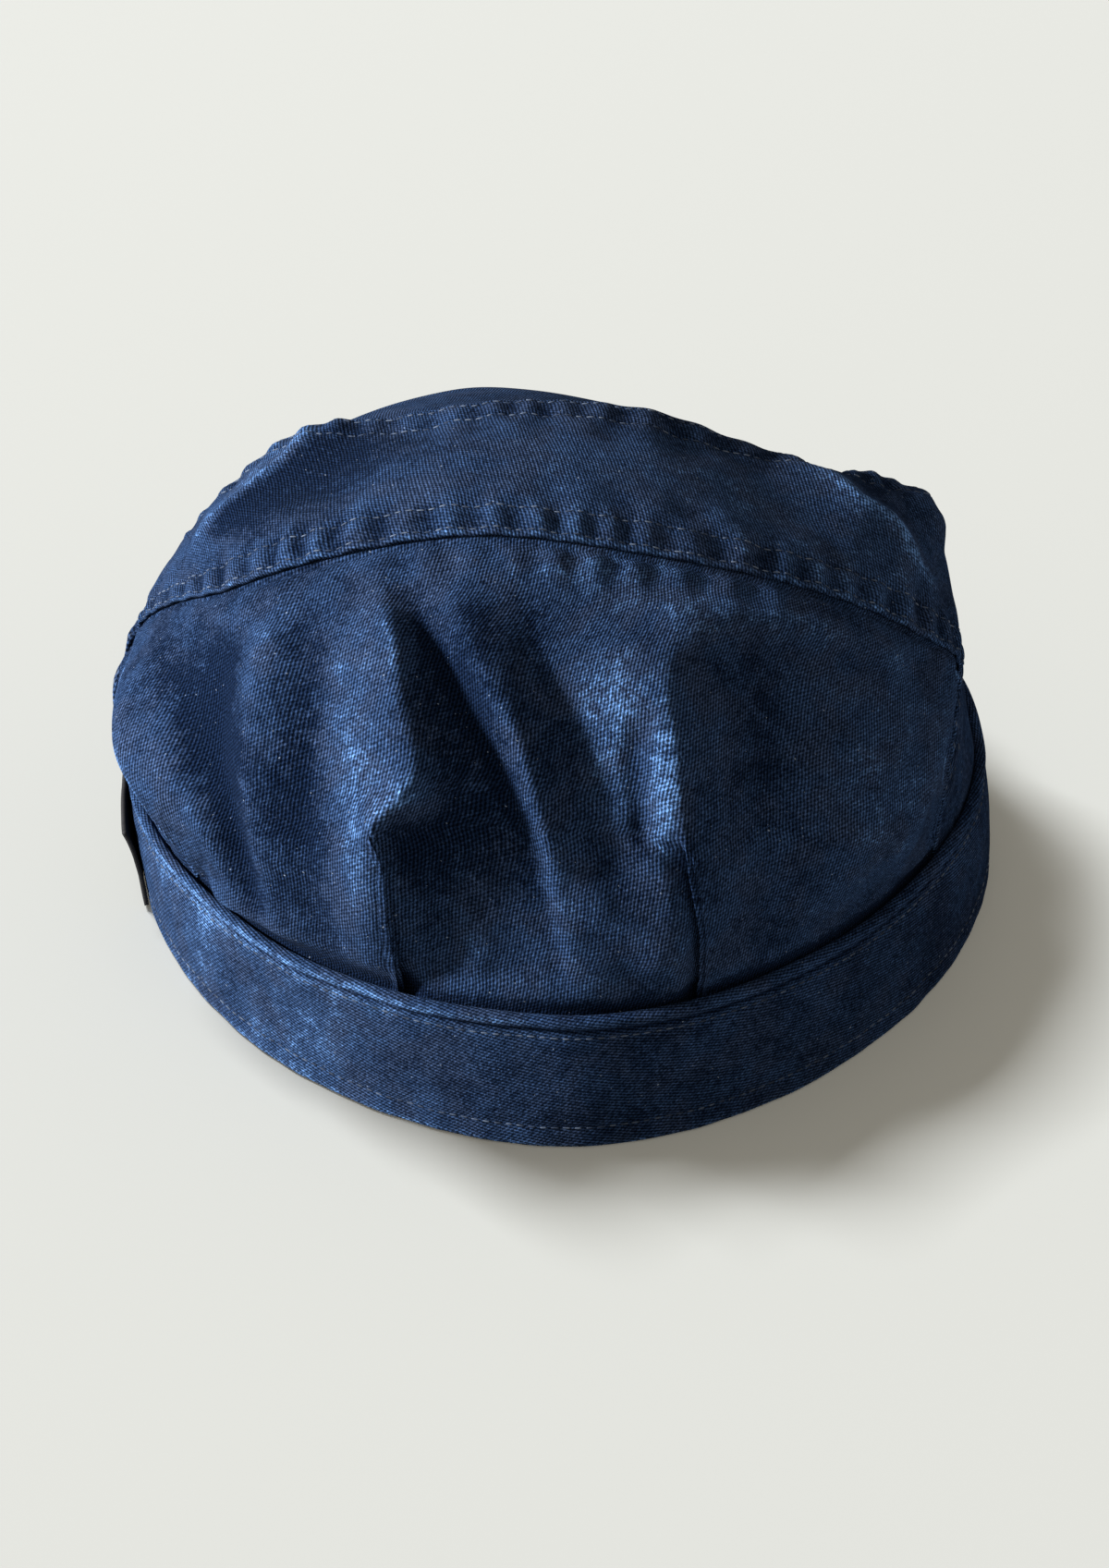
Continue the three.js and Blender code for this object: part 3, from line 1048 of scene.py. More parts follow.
@dataclass(frozen=True)
class SewingThread:
    """Pale cotton thread, dulled by the dye in places."""

    name: str = "sewing_thread"
    pale: Colour = (0.098, 0.130, 0.190)
    dulled: Colour = (0.018, 0.032, 0.064)
    patches: Mottle = Mottle(330.0, low=0.42, high=0.62)
    twist: Mottle = Mottle(4200.0, 1.0)
    bump: float = 0.5
    relief: float = 0.1
    rough: float = 0.8
    shine: float = 0.3

    def material(self) -> bpy.types.Material:
        """Make the material.

        Returns:
            The material.
        """
        bench = NodeBench(self.name)
        places = bench.add("TexCoord").outputs["Object"]
        colour = bench.blend(self.patches.moved(bench, places), opaque(self.dulled), opaque(self.pale))
        return bench.finish({
            "Base Color": colour, "Roughness": self.rough, "Specular IOR Level": self.shine,
            "Normal": bench.bumped(self.twist.plain(bench, places), self.bump, self.relief),
        })


@dataclass(frozen=True)
class BlackTape:
    """Bare black woven tape with fine ribs along it, so many for each millimetre."""

    name: str = "black_tape"
    dark: Colour = (0.004, 0.004, 0.005)
    lit: Colour = (0.014, 0.014, 0.017)
    ribs: float = 2.2
    grain: Mottle = Mottle(2.5)
    lit_range: Pair = (0.3, 0.7)
    bump: float = 0.6
    relief: float = 0.1
    rough: float = 0.75
    shine: float = 0.3

    def material(self) -> bpy.types.Material:
        """Make the material.

        Returns:
            The material.
        """
        bench = NodeBench(self.name)
        places = bench.add("UVMap", uv_map=CLOTH_MAP).outputs["UV"]
        ribs = bench.math("SINE", bench.phase(places, 0.0, self.ribs))
        grain = self.grain.plain(bench, places)
        colour = bench.blend(bench.ramp(grain, *self.lit_range), opaque(self.dark), opaque(self.lit))
        return bench.finish({
            "Base Color": colour, "Roughness": self.rough, "Specular IOR Level": self.shine,
            "Normal": bench.bumped(bench.math("ADD", ribs, grain), self.bump, self.relief),
        })


@dataclass(frozen=True)
class PaleFloor:
    """Plain pale floor."""

    name: str = "pale_floor"
    colour: Colour = (0.335, 0.339, 0.325)
    rough: float = 0.95
    shine: float = 0.1

    def material(self) -> bpy.types.Material:
        """Make the material."""
        return NodeBench(self.name).finish({
            "Base Color": opaque(self.colour), "Roughness": self.rough, "Specular IOR Level": self.shine,
        })


# Thread and weave of the band

DARK_THREAD: Colour = (0.062, 0.085, 0.130)
DARK_THREAD_DULLED: Colour = (0.012, 0.022, 0.046)
TWILL_WAVES: tuple[Pair, Pair] = ((0.28, 1.45), (1.0, -0.95))
TWILL_FADE = -0.01


# Pieces of the cap


@dataclass
class StitchRow:
    """A row of stitches along a line on the cloth.

    Each is a small ball drawn out along the row, blunt at its ends, and a little uneven in lie and length.
    """

    name: str
    spacing: float = 2.4
    length: float = 1.6
    thick: float = 0.36
    raised: float = 0.08
    seed: int = 5
    segments: int = 6
    rings: int = 5
    look: float = 0.5
    askew: float = 0.05
    shortest: float = 0.85
    longest: float = 1.1
    blunt: float = 0.7

    def build(self, line: Array, normals: Array) -> bpy.types.Object:
        """Model one stitch and copy it along the line.

        Args:
            line: points along the row, in millimetres.
            normals: directions out of the cloth at those points.

        Returns:
            The row as one object.
        """
        bpy.ops.object.select_all(action="DESELECT")
        bpy.ops.mesh.primitive_uv_sphere_add(segments=self.segments, ring_count=self.rings, radius=1.0)
        grain = bpy.context.object
        corners = np.array([corner.co for corner in grain.data.vertices])
        faces = [list(face.vertices) for face in grain.data.polygons]
        bpy.ops.object.delete()
        way = np.concatenate([[0.0], np.cumsum(np.linalg.norm(np.diff(line, axis=0), axis=-1))])
        middles = np.arange(self.spacing / 2, way[-1], self.spacing)
        draws = np.random.default_rng(self.seed)

        def along(values: Array, at: Array) -> Array:
            """Values of the row at ways along it."""
            return np.stack([np.interp(at, way, values[:, axis]) for axis in range(3)], axis=-1)

        ahead = unit(along(line, middles + self.look) - along(line, middles - self.look))
        out = unit(along(normals, middles))
        side = unit(np.cross(out, ahead) + draws.normal(0, self.askew, ahead.shape))
        reach = self.length / 2 * draws.uniform(self.shortest, self.longest, (len(middles), 1, 1))
        squared = np.sign(corners[:, 2]) * np.abs(corners[:, 2]) ** self.blunt
        places = along(line, middles)[:, None] + reach * squared[None, :, None] * ahead[:, None]
        places = places + self.thick / 2 * corners[None, :, 0, None] * side[:, None]
        places = places + (self.thick / 2 * corners[None, :, 1, None] + self.raised) * out[:, None]
        mesh = bpy.data.meshes.new(self.name)
        starts = range(0, len(middles) * len(corners), len(corners))
        copies = [[start + index for index in face] for start in starts for face in faces]
        mesh.from_pydata(CapFrame().metres(places.reshape(-1, 3)).tolist(), [], copies)
        mesh.validate()
        piece = bpy.data.objects.new(self.name, mesh)
        bpy.context.collection.objects.link(piece)
        select_only(piece)
        bpy.ops.object.mode_set(mode="EDIT")
        bpy.ops.mesh.select_all(action="SELECT")
        bpy.ops.mesh.normals_make_consistent(inside=False)
        bpy.ops.object.mode_set(mode="OBJECT")
        bpy.ops.object.shade_smooth()
        return piece


@dataclass(frozen=True)
class SeamEdge:
    """Edge of a panel under the strip: its lap, its ends at the ears, and the groove along the seam."""

    lap: float = 8.0
    lap_steps: int = 5
    tuck_steps: int = 3
    start: float = 0.006
    end: float = 0.994
    groove: float = 1.1
    groove_width: float = 1.3
    settled: float = 3.0

    def heights(self, pucker: Pucker, along: Array, away: Array) -> tuple[Array, Array]:
        """Height of the puckers, and of the groove, along the seam and away from it."""
        puckers = pucker.heights(along, away) * smooth_step(away, 0.0, self.settled)
        return puckers, -self.groove * swell(away, self.groove_width)


@dataclass
class BackPanel:
    """Back of the crown: gathered at the band by two pleats, with the soft folds that they draw.

    Ranges are shares down the panel, apart from side_end, which is a share across it.
    """

    crown: CrownForm
    finish: WashedCloth
    edge: SeamEdge = SeamEdge()
    wall: float = 1.3
    facing: Point = (0.0, -0.8, 0.6)
    side_steps: int = 100
    pleat_steps: int = 12
    middle_steps: int = 96
    down_steps: int = 118
    rounding: int = 3
    easing: int = 12
    floor_share: float = 0.3
    shift_range: Pair = (0.0, 0.45)
    held_opens: Pair = (0.0, 0.12)
    held_closes: Pair = (0.93, 1.0)
    ear_range: Pair = (0.6, 0.95)
    side_end: float = 0.06
    wrinkles: Wrinkles = Wrinkles(21, (
        (0.9, 34.0, 0.0, 0.0), (0.45, 15.0, 90.0, 0.0), (0.14, 6.0, 0.0, 50.0),
    ))
    pucker: Pucker = Pucker(8.2, 0.58, 9.0, 31)
    ridges: RidgeWear = RidgeWear(0.55, 6, 1.6)
    ridge_range: Pair = (0.02, 0.1)
    # Painted shadow where the crown meets the band: its strength, and the shares down the panel over which it
    # darkens
    painted_shadow: float = 0.7
    painted_shadow_range: Pair = (0.965, 0.995)
    pleats: tuple[Pleat, Pleat] = (
        Pleat("left pleat", (
            (0.5, 0.394), (0.59, 0.390), (0.655, 0.388), (0.77, 0.383), (0.875, 0.380), (1.0, 0.378),
        ), opens=1, starts=0.50, full=0.68, lap=5.0, depth_top=3.2, depth_band=2.2, pocket=10.0),
        Pleat("right pleat", (
            (0.5, 0.564), (0.595, 0.569), (0.71, 0.579), (0.82, 0.587), (1.0, 0.592),
        ), opens=-1, starts=0.53, full=0.70, lap=5.0, depth_top=3.2, depth_band=2.4, pocket=9.0),
    )
    patches: tuple[WearAndPaintedLightPatch, ...] = (
        # Painted highlights, over some wear, on the lit face of the left crest and the rim of the left
        # pleat's pocket
        WearAndPaintedLightPatch((0.368, 0.60), (0.020, 0.20), 0.65),
        WearAndPaintedLightPatch((0.378, 0.45), (0.026, 0.12), 0.20),
        WearAndPaintedLightPatch((0.400, 0.51), (0.020, 0.06), 0.50),
        # Painted shade in the top of the left pleat's pocket
        WearAndPaintedLightPatch((0.394, 0.66), (0.010, 0.08), -0.80),
        # Painted highlight, over some wear, on the lit upper part of the left crest
        WearAndPaintedLightPatch((0.385, 0.26), (0.030, 0.16), 0.40),
        # Painted highlights, over some wear, on the lit faces of the second crest
        WearAndPaintedLightPatch((0.532, 0.36), (0.022, 0.18), 0.78),
        WearAndPaintedLightPatch((0.562, 0.50), (0.008, 0.16), 0.95),
        WearAndPaintedLightPatch((0.53, 0.05), (0.10, 0.08), 0.60),
        WearAndPaintedLightPatch((0.16, 0.55), (0.05, 0.30), 0.25),
        # Painted shade in the hollows on the left side, which face away from the key light
        WearAndPaintedLightPatch((0.255, 0.42), (0.065, 0.28), -0.80),
        WearAndPaintedLightPatch((0.29, 0.75), (0.05, 0.18), -0.20),
        # Painted shade on the dark slopes right of the left crest
        WearAndPaintedLightPatch((0.445, 0.22), (0.018, 0.10), -0.40),
        WearAndPaintedLightPatch((0.440, 0.48), (0.034, 0.20), -0.60),
        # Painted light that lifts the shade on the floor of the pocket between the pleats
        WearAndPaintedLightPatch((0.480, 0.88), (0.09, 0.20), 0.30),
        # Painted light that lifts the shaded right side of the panel
        WearAndPaintedLightPatch((0.80, 0.45), (0.15, 0.50), 0.40),
    )
    drape: Drape = Drape((
        DrapeLine("left start", (
            (0.0, 0.10, 0.0), (1.0, 0.10, 0.0),
        )),
        DrapeLine("side ridge", (
            (0.05, 0.185, 0.0), (0.30, 0.182, 2.2), (0.70, 0.188, 2.4), (0.95, 0.205, 0.3),
        )),
        DrapeLine("side hollow", (
            (0.06, 0.285, 0.0), (0.15, 0.283, -2.2), (0.30, 0.262, -3.2), (0.45, 0.236, -3.0),
            (0.75, 0.225, -1.8), (0.95, 0.23, 0.0),
        )),
        DrapeLine("left ridge", (
            (0.06, 0.328, 0.0), (0.15, 0.324, 1.4), (0.27, 0.317, 2.4), (0.40, 0.303, 2.8),
            (0.55, 0.282, 2.8), (0.72, 0.262, 2.2), (0.95, 0.262, 0.3),
        )),
        DrapeLine("left hollow", (
            (0.06, 0.352, 0.0), (0.18, 0.352, -2.0), (0.32, 0.352, -2.8), (0.42, 0.345, -2.6),
            (0.55, 0.330, -2.0), (0.70, 0.312, -1.2), (0.95, 0.31, 0.0),
        )),
        DrapeLine("left crest", (
            (0.06, 0.396, 0.0), (0.16, 0.402, 2.4), (0.22, 0.407, 3.2), (0.34, 0.406, 4.2),
            (0.435, 0.411, 4.8), (0.485, 0.412, 5.0), (0.515, 0.406, 5.0), (0.545, 0.397, 4.9),
            (0.585, 0.386, 4.7), (0.655, 0.377, 4.6), (0.77, 0.372, 3.8), (0.875, 0.369, 2.4),
            (0.97, 0.368, 0.8),
        )),
        DrapeLine("pocket floor", (
            (0.08, 0.406, 0.0), (0.16, 0.410, -0.6), (0.24, 0.415, -1.0), (0.30, 0.420, -1.4),
            (0.38, 0.429, -2.4), (0.45, 0.436, -3.4), (0.50, 0.436, -4.2), (0.55, 0.425, -5.0),
            (0.60, 0.415, -5.8), (0.72, 0.408, -6.2), (0.85, 0.404, -5.4), (0.97, 0.401, -2.0),
        )),
        DrapeLine("long valley", (
            (0.08, 0.412, 0.0), (0.16, 0.417, -3.0), (0.24, 0.426, -5.0), (0.30, 0.434, -6.0),
            (0.36, 0.443, -6.6), (0.45, 0.456, -7.0), (0.575, 0.468, -7.2), (0.675, 0.475, -7.0),
            (0.78, 0.483, -6.2), (0.88, 0.488, -4.6), (0.97, 0.491, -1.6),
        )),
        DrapeLine("long crest", (
            (0.08, 0.434, 0.2), (0.16, 0.438, 0.2), (0.25, 0.450, 0.2), (0.335, 0.461, 0.0),
            (0.42, 0.473, -0.4), (0.505, 0.478, -1.0), (0.58, 0.484, -1.8), (0.66, 0.489, -2.6),
            (0.755, 0.494, -3.0), (0.845, 0.499, -2.8), (0.97, 0.502, -0.8),
        )),
        DrapeLine("second valley", (
            (0.08, 0.478, 0.0), (0.16, 0.485, -3.0), (0.20, 0.490, -3.8), (0.29, 0.500, -5.2),
            (0.395, 0.508, -6.0), (0.51, 0.515, -6.0), (0.605, 0.522, -5.2), (0.69, 0.530, -4.0),
            (0.82, 0.538, -2.6), (0.97, 0.542, -0.6),
        )),
        DrapeLine("second crest", (
            (0.06, 0.580, 0.4), (0.18, 0.569, 2.4), (0.25, 0.562, 3.4), (0.32, 0.562, 3.8),
            (0.40, 0.567, 4.0), (0.52, 0.572, 3.8), (0.60, 0.576, 3.2), (0.75, 0.583, 1.6),
            (0.97, 0.585, 0.0),
        )),
        DrapeLine("right plane", (
            (0.10, 0.640, 0.0), (0.18, 0.632, -1.6), (0.28, 0.630, -3.2), (0.45, 0.634, -4.0),
            (0.60, 0.642, -3.6), (0.78, 0.650, -2.0), (0.97, 0.650, 0.0),
        )),
        DrapeLine("right swell", (
            (0.06, 0.73, 0.0), (0.40, 0.73, 0.4), (0.65, 0.73, 1.0), (0.97, 0.73, 0.0),
        )),
        DrapeLine("right end", (
            (0.0, 0.90, 0.0), (1.0, 0.90, 0.0),
        )),
    ))
    folds: tuple[Fold, ...] = (
        Fold("groove in second crest", ((0.550, 0.30), (0.547, 0.42), (0.551, 0.54), (0.553, 0.66)),
             -2.2, 2.8, 2.2, ends=0.3),
        Fold("right shoulder", ((0.566, 0.21), (0.580, 0.15), (0.608, 0.12), (0.642, 0.09), (0.690, 0.09),
                                (0.740, 0.11)), 2.2, 6.0, 9.0, ends=0.15),
        Fold("pocket rim", ((0.374, 0.66), (0.385, 0.585), (0.400, 0.535), (0.420, 0.47)),
             2.0, 4.0, 3.5, ends=0.3),
        Fold("left belly", ((0.06, 0.90), (0.15, 0.93), (0.25, 0.94), (0.33, 0.95)),
             2.0, 9.0, 9.0, ends=0.3),
        Fold("soft ridge", ((0.496, 0.70), (0.520, 0.76), (0.548, 0.825), (0.585, 0.93)),
             1.6, 5.0, 5.0, ends=0.3),
        Fold("small ridge", ((0.430, 0.80), (0.430, 0.97)), 0.9, 3.5, 3.5),
    )
    wear_and_painted_light_lines: tuple[Fold, ...] = (
        Fold("left side", ((0.15, 0.02), (0.127, 0.135), (0.10, 0.25), (0.065, 0.30), (0.035, 0.36)),
             0.7, 2.5, 2.5, ends=0.15),
        Fold("right side", ((0.80, 0.01), (0.835, 0.04), (0.855, 0.13), (0.91, 0.12), (0.945, 0.18)),
             0.7, 2.5, 2.5, ends=0.15),
    )

    def build(self) -> bpy.types.Object:
        """Model the panel and dress it.

        Returns:
            The panel.
        """
        down = self.downs()
        across, depth = self.laid(np.clip(down, 0, 1))
        down = np.broadcast_to(down, across.shape)
        place = self.place(across, down)
        points = self.crown.lifted(across, place, -depth + self.relief(across, down))
        flat = domed_places(points, self.crown, self.facing)
        flat[..., 0] = flat[..., 0] + self.fullness(points, across, place)
        piece = ClothGrid("back_panel_cloth", points, flat, self.wear_and_painted_light(across, down)).build(self.wall)
        dress(piece, Slot.CROWN, self.finish.material(), "back_panel")
        return piece

    def place(self, across: Array, down: Array) -> Array:
        """Place along the crown's section, at places on the panel."""
        return 2 + down - self.crown.seam_shift(across) * (1 - smooth_step(down, *self.shift_range))

    def fullness(self, points: Array, across: Array, place: Array) -> Array:
        """Extra cloth that the folds take up across the panel, less an even share of it, in millimetres."""
        smooth = self.crown.points(across, place)
        folded, plain = (np.linalg.norm(np.diff(grid, axis=0), axis=-1) for grid in (points, smooth))
        extra = folded - plain
        taken = np.concatenate([np.zeros((1, points.shape[1])), np.cumsum(extra, axis=0)])
        share = np.linspace(0, 1, len(points))[:, None]
        return taken - taken[-1:] * share

    def downs(self) -> Array:
        """Rows up the panel: tucked into the band, from the band to the seam, and under the strip."""
        edge = self.edge
        lap = edge.lap / self.crown.strip_width
        return spread((2.0, 1.0, 0.0, -lap), (edge.tuck_steps, self.down_steps, edge.lap_steps))

    def column_steps(self) -> tuple[int, ...]:
        """How many columns lie left of, in, between, in and right of the two pleats."""
        return self.side_steps, self.pleat_steps, self.middle_steps, self.pleat_steps, self.side_steps

    def laid(self, down: Array) -> tuple[Array, Array]:
        """Place across the crown and depth of every column, with both pleats laid over.

        Args:
            down: places down the panel, one for each row.

        Returns:
            Two grids of columns and rows.
        """
        width = self.crown.seam_length
        stops = []
        depths = []
        for pleat in self.pleats:
            edge, closed, lap = pleat.edge_at(down), pleat.closed(down), pleat.lap / width
            outer = edge - pleat.opens * (1 - closed) * lap / 2
            under = edge + pleat.opens * ((1 - closed) * lap / 2 - closed * lap)
            stops += [outer, under] if pleat.opens > 0 else [under, outer]
            depths.append(pleat.depth(down))
        runs = [np.full_like(down, self.edge.start), *stops, np.full_like(down, self.edge.end)]
        shares = [np.linspace(0, 1, count, endpoint=False) for count in self.column_steps()]
        columns = [a + (b - a) * share[:, None] for a, b, share in zip(runs, runs[1:], shares)]
        across = np.concatenate(columns + [runs[-1][None]])
        left, right = self.pleats
        from_left = (columns[2] - stops[1]) * width
        from_right = (stops[2] - columns[2]) * width
        left_floor = depths[0] * (1 - smooth_step(from_left, self.floor_share * left.pocket, left.pocket))
        right_floor = depths[1] * (1 - smooth_step(from_right, self.floor_share * right.pocket, right.pocket))
        depth = np.concatenate([
            np.zeros_like(columns[0]),
            depths[0] * shares[1][:, None],
            left_floor + right_floor,
            depths[1] * (1 - shares[3][:, None]),
            np.zeros_like(columns[4]),
            np.zeros((1, len(down))),
        ])
        return self.rounded(across), self.rounded(depth)

    def rounded(self, values: Array) -> Array:
        """Values softened from column to column, so that a fold's edge is round."""
        for _ in range(self.rounding):
            inner = (values[:-2] + 2 * values[1:-1] + values[2:]) / 4
            values = np.concatenate([values[:1], inner, values[-1:]])
        return values

    def off_pleats(self, down: Array) -> Array:
        """Share from 0 in the folded columns of the closed pleats to 1 away from them."""
        runs = [np.full(count, float(index in (1, 3))) for index, count in enumerate(self.column_steps())]
        folded = np.concatenate(runs + [np.zeros(1)])
        near = np.convolve(folded, np.ones(self.pleat_steps + 1), "same") > 0
        closed = np.maximum(*(pleat.closed(np.clip(down, 0, 1)) for pleat in self.pleats))
        return 1 - near[:, None] * closed

    def eased(self, heights: Array) -> Array:
        """Heights softened down the rows and across, so that lines with corners run smoothly."""
        for _ in range(self.easing):
            inner = (heights[:, :-2] + 2 * heights[:, 1:-1] + heights[:, 2:]) / 4
            heights = np.concatenate([heights[:, :1], inner, heights[:, -1:]], axis=1)
        return self.rounded(heights)

    def relief(self, across: Array, down: Array) -> Array:
        """Height of the folds, puckers and small wrinkles of the panel.

        Args:
            across: places across the crown.
            down: places down the panel.

        Returns:
            Heights outwards, in millimetres.
        """
        scale = (self.crown.seam_length, self.crown.back_length)
        inside = np.clip(down, 0, 1)
        held = window(down, self.held_opens, self.held_closes)
        heights = self.eased(self.drape.heights(across, inside))
        heights = heights + sum(fold.heights(across, inside, scale) for fold in self.folds)
        x, y = across * scale[0], inside * scale[1]
        free = (heights + self.wrinkles.heights(x, y)) * held
        puckers, groove = self.edge.heights(self.pucker, x, y)
        seam = (puckers + groove * self.crown.off_ears(across)) * (down > 0)
        fades = 1 - smooth_step(inside, *self.ear_range)
        ear = self.crown.ear_swell(across, self.place(across, down)) * fades
        return (free + seam + ear) * smooth_step(across, self.edge.start, self.side_end)

    def wear_and_painted_light(self, across: Array, down: Array) -> Array:
        """How worn the panel is: on its ridges, in soft patches, and where it bends round to the ears.

        Some patches are painted highlights on lit faces, painted shade in hollows, and painted light that
        lifts shaded parts; a painted shadow darkens the foot of the panel above the band.

        Args:
            across: places across the crown.
            down: places down the panel.

        Returns:
            One value for each place.
        """
        unpleated = self.crown.lifted(across, self.place(across, down), self.relief(across, down))
        ridges = self.ridges.at(unpleated) * self.off_pleats(down)
        patches = sum(patch.at(across, down) for patch in self.patches)
        scale = (self.crown.seam_length, self.crown.back_length)
        lines = sum(line.heights(across, np.clip(down, 0, 1), scale) for line in self.wear_and_painted_light_lines)
        # Painted shadow just above the band, where the crown tucks in
        painted_band_shadow = -self.painted_shadow * smooth_step(down, *self.painted_shadow_range)
        return ridges * smooth_step(down, *self.ridge_range) + patches + lines + painted_band_shadow


@dataclass
class TopStrip:
    """Strip over the top from ear to ear, lapped over both panels and sewn along each edge by twin rows.

    Rows, ranges and widths are ways from an edge in millimetres. Those of the ears and of a row's ends are
    shares across the strip.
    """

    crown: CrownForm
    finish: WashedCloth
    thread: bpy.types.Material
    wall: float = 1.3
    proud: float = 1.6
    proud_at_ear: float = 0.7
    edge_round: float = 1.0
    first_row: float = 1.5
    second_row: float = 7.85
    seam_dip: float = 0.3
    dip_width: float = 0.8
    across_steps: int = 330
    tuck_steps: int = 3
    sewn: float = 9.5
    edge_steps: tuple[int, int, int] = (5, 14, 16)
    ear_range: Pair = (0.0, 0.08)
    crease_range: Pair = (1.0, 13.0)
    calm_to: float = 12.0
    creases: CrownCreases = CrownCreases()
    wrinkles: Wrinkles = Wrinkles(47, ((0.7, 26.0, 0.0, 0.0), (0.3, 11.0, 70.0, 0.0)))
    back_pucker: Pucker = Pucker(7.2, 0.80, 4.6, 11)
    front_pucker: Pucker = Pucker(7.6, 0.70, 4.6, 17)
    inner_pucker: Pucker = Pucker(12.5, 0.45, 6.0, 23)
    inner_away: float = 5.0
    ridges: RidgeWear = RidgeWear(0.4, 3, 0.6)
    worn_edge: WearAndPaintedLightLine = WearAndPaintedLightLine(0.4, 0.0, 1.0)
    row_range: Pair = (0.04, 0.96)
    row_points: int = 900
    row_probe: float = 0.4
    patches: tuple[WearAndPaintedLightPatch, ...] = (
        WearAndPaintedLightPatch((0.20, 0.40), (0.06, 0.40), 0.20),
        WearAndPaintedLightPatch((0.50, 0.35), (0.12, 0.35), 0.30),
        WearAndPaintedLightPatch((0.66, 0.40), (0.10, 0.40), 0.35),
    )
    wear_and_painted_light_lines: tuple[Fold, ...] = (
        # Painted light on the lit face of the left crease, and painted shade behind it
        Fold("left face", ((0.358, 0.0), (0.323, 0.28), (0.291, 0.50), (0.253, 0.64)),
             0.60, 11.0, 2.0, ends=0.2),
        Fold("behind left crease", ((0.375, 0.0), (0.343, 0.28), (0.311, 0.50), (0.273, 0.66)),
             -0.65, 2.5, 16.0, ends=0.2),
        # Painted light along the right crease's crest, and painted shade on its shaded face
        Fold("right crest", ((0.64, 0.05), (0.684, 0.395), (0.709, 0.47), (0.731, 0.63), (0.77, 0.78)),
             0.45, 4.0, 1.5, ends=0.2),
        Fold("beside right crease", ((0.66, 0.05), (0.703, 0.395), (0.728, 0.47), (0.750, 0.63)),
             -0.40, 2.5, 12.0, ends=0.2),
    )

    def build(self) -> bpy.types.Object:
        """Model the strip and its stitches and dress them.

        Returns:
            The strip.
        """
        across = np.concatenate([
            np.linspace(-1, 0, self.tuck_steps, endpoint=False),
            np.linspace(0, 1, self.across_steps),
            np.linspace(1, 2, self.tuck_steps + 1)[1:],
        ])
        offset = self.offsets()
        points = self.points(across[:, None], offset[None, :])
        wear_and_painted_light = self.wear_and_painted_light(points, across, offset)
        piece = ClothGrid("top_panel_cloth", points, flat_places(points), wear_and_painted_light).build(self.wall)
        dress(piece, Slot.STRIP, self.finish.material(), "top_panel")
        rows = [self.stitches(name, offset) for name, offset in self.row_offsets().items()]
        return piece

    def offsets(self) -> Array:
        """Rows of the strip as ways from its back edge, close together at both edges and stitch rows."""
        width = self.crown.strip_width
        edge = spread((0.0, self.edge_round, self.sewn, width / 2), self.edge_steps)
        return np.concatenate([edge, width - edge[-2::-1]])

    def row_offsets(self) -> dict[str, float]:
        """Name of each row of stitches, and its way from the back edge."""
        width = self.crown.strip_width
        return {
            "back_seam_stitches_low": self.first_row,
            "back_seam_stitches_high": self.second_row,
            "front_seam_stitches_low": width - self.first_row,
            "front_seam_stitches_high": width - self.second_row,
        }

    def points(self, across: Array, offset: Array) -> Array:
        """Points of the strip's outer face.

        Args:
            across: shares from the left ear to the right ear.
            offset: ways from the back edge, in millimetres.

        Returns:
            One point for each pair.
        """
        across, offset = np.broadcast_arrays(across, offset)
        width = self.crown.strip_width
        place = self.place(across, offset)
        near = np.minimum(offset, width - offset)
        inward = np.maximum(self.edge_round - near, 0)
        round_off = self.edge_round - np.sqrt(np.maximum(self.edge_round**2 - inward**2, 0))
        proud = self.proud_at_ear + (self.proud - self.proud_at_ear) * self.crown.off_ears(across)
        lift = proud - round_off + self.relief(across, offset, near)
        return self.crown.lifted(across, place, lift)

    def place(self, across: Array, offset: Array) -> Array:
        """Place along the crown's section, at ways from the strip's back edge."""
        share = offset / self.crown.strip_width
        return 2 - share - self.crown.seam_shift(across) * (1 - share)

    def relief(self, across: Array, offset: Array, near: Array) -> Array:
        """Height of the creases, puckers and dips along the stitches.

        Args:
            across: shares from the left ear to the right ear.
            offset: ways from the back edge, in millimetres.
            near: ways from the nearer edge, in millimetres.

        Returns:
            Heights outwards, in millimetres.
        """
        width, length = self.crown.strip_width, self.crown.seam_length
        inside = np.clip(across, 0, 1)
        ears = smooth_step(inside, *self.ear_range) * smooth_step(1 - inside, *self.ear_range)
        folds = self.creases.heights(self.crown, inside, 2 - offset / width)
        folds = folds * smooth_step(offset, *self.crease_range)
        x = inside * length
        wrinkles = self.wrinkles.heights(x, offset) * smooth_step(near, self.edge_round, self.calm_to)
        between = (self.first_row + self.second_row) / 2
        back = self.back_pucker.heights(x, offset - between)
        front = self.front_pucker.heights(x, width - offset - between)
        inner = self.inner_pucker.heights(x, near - self.second_row - self.inner_away)
        dips = sum(swell(near - row, self.dip_width) for row in (self.first_row, self.second_row))
        ear = self.crown.ear_swell(inside, self.place(inside, offset))
        return ears * (folds + wrinkles + back + front + inner) - self.seam_dip * dips + ear

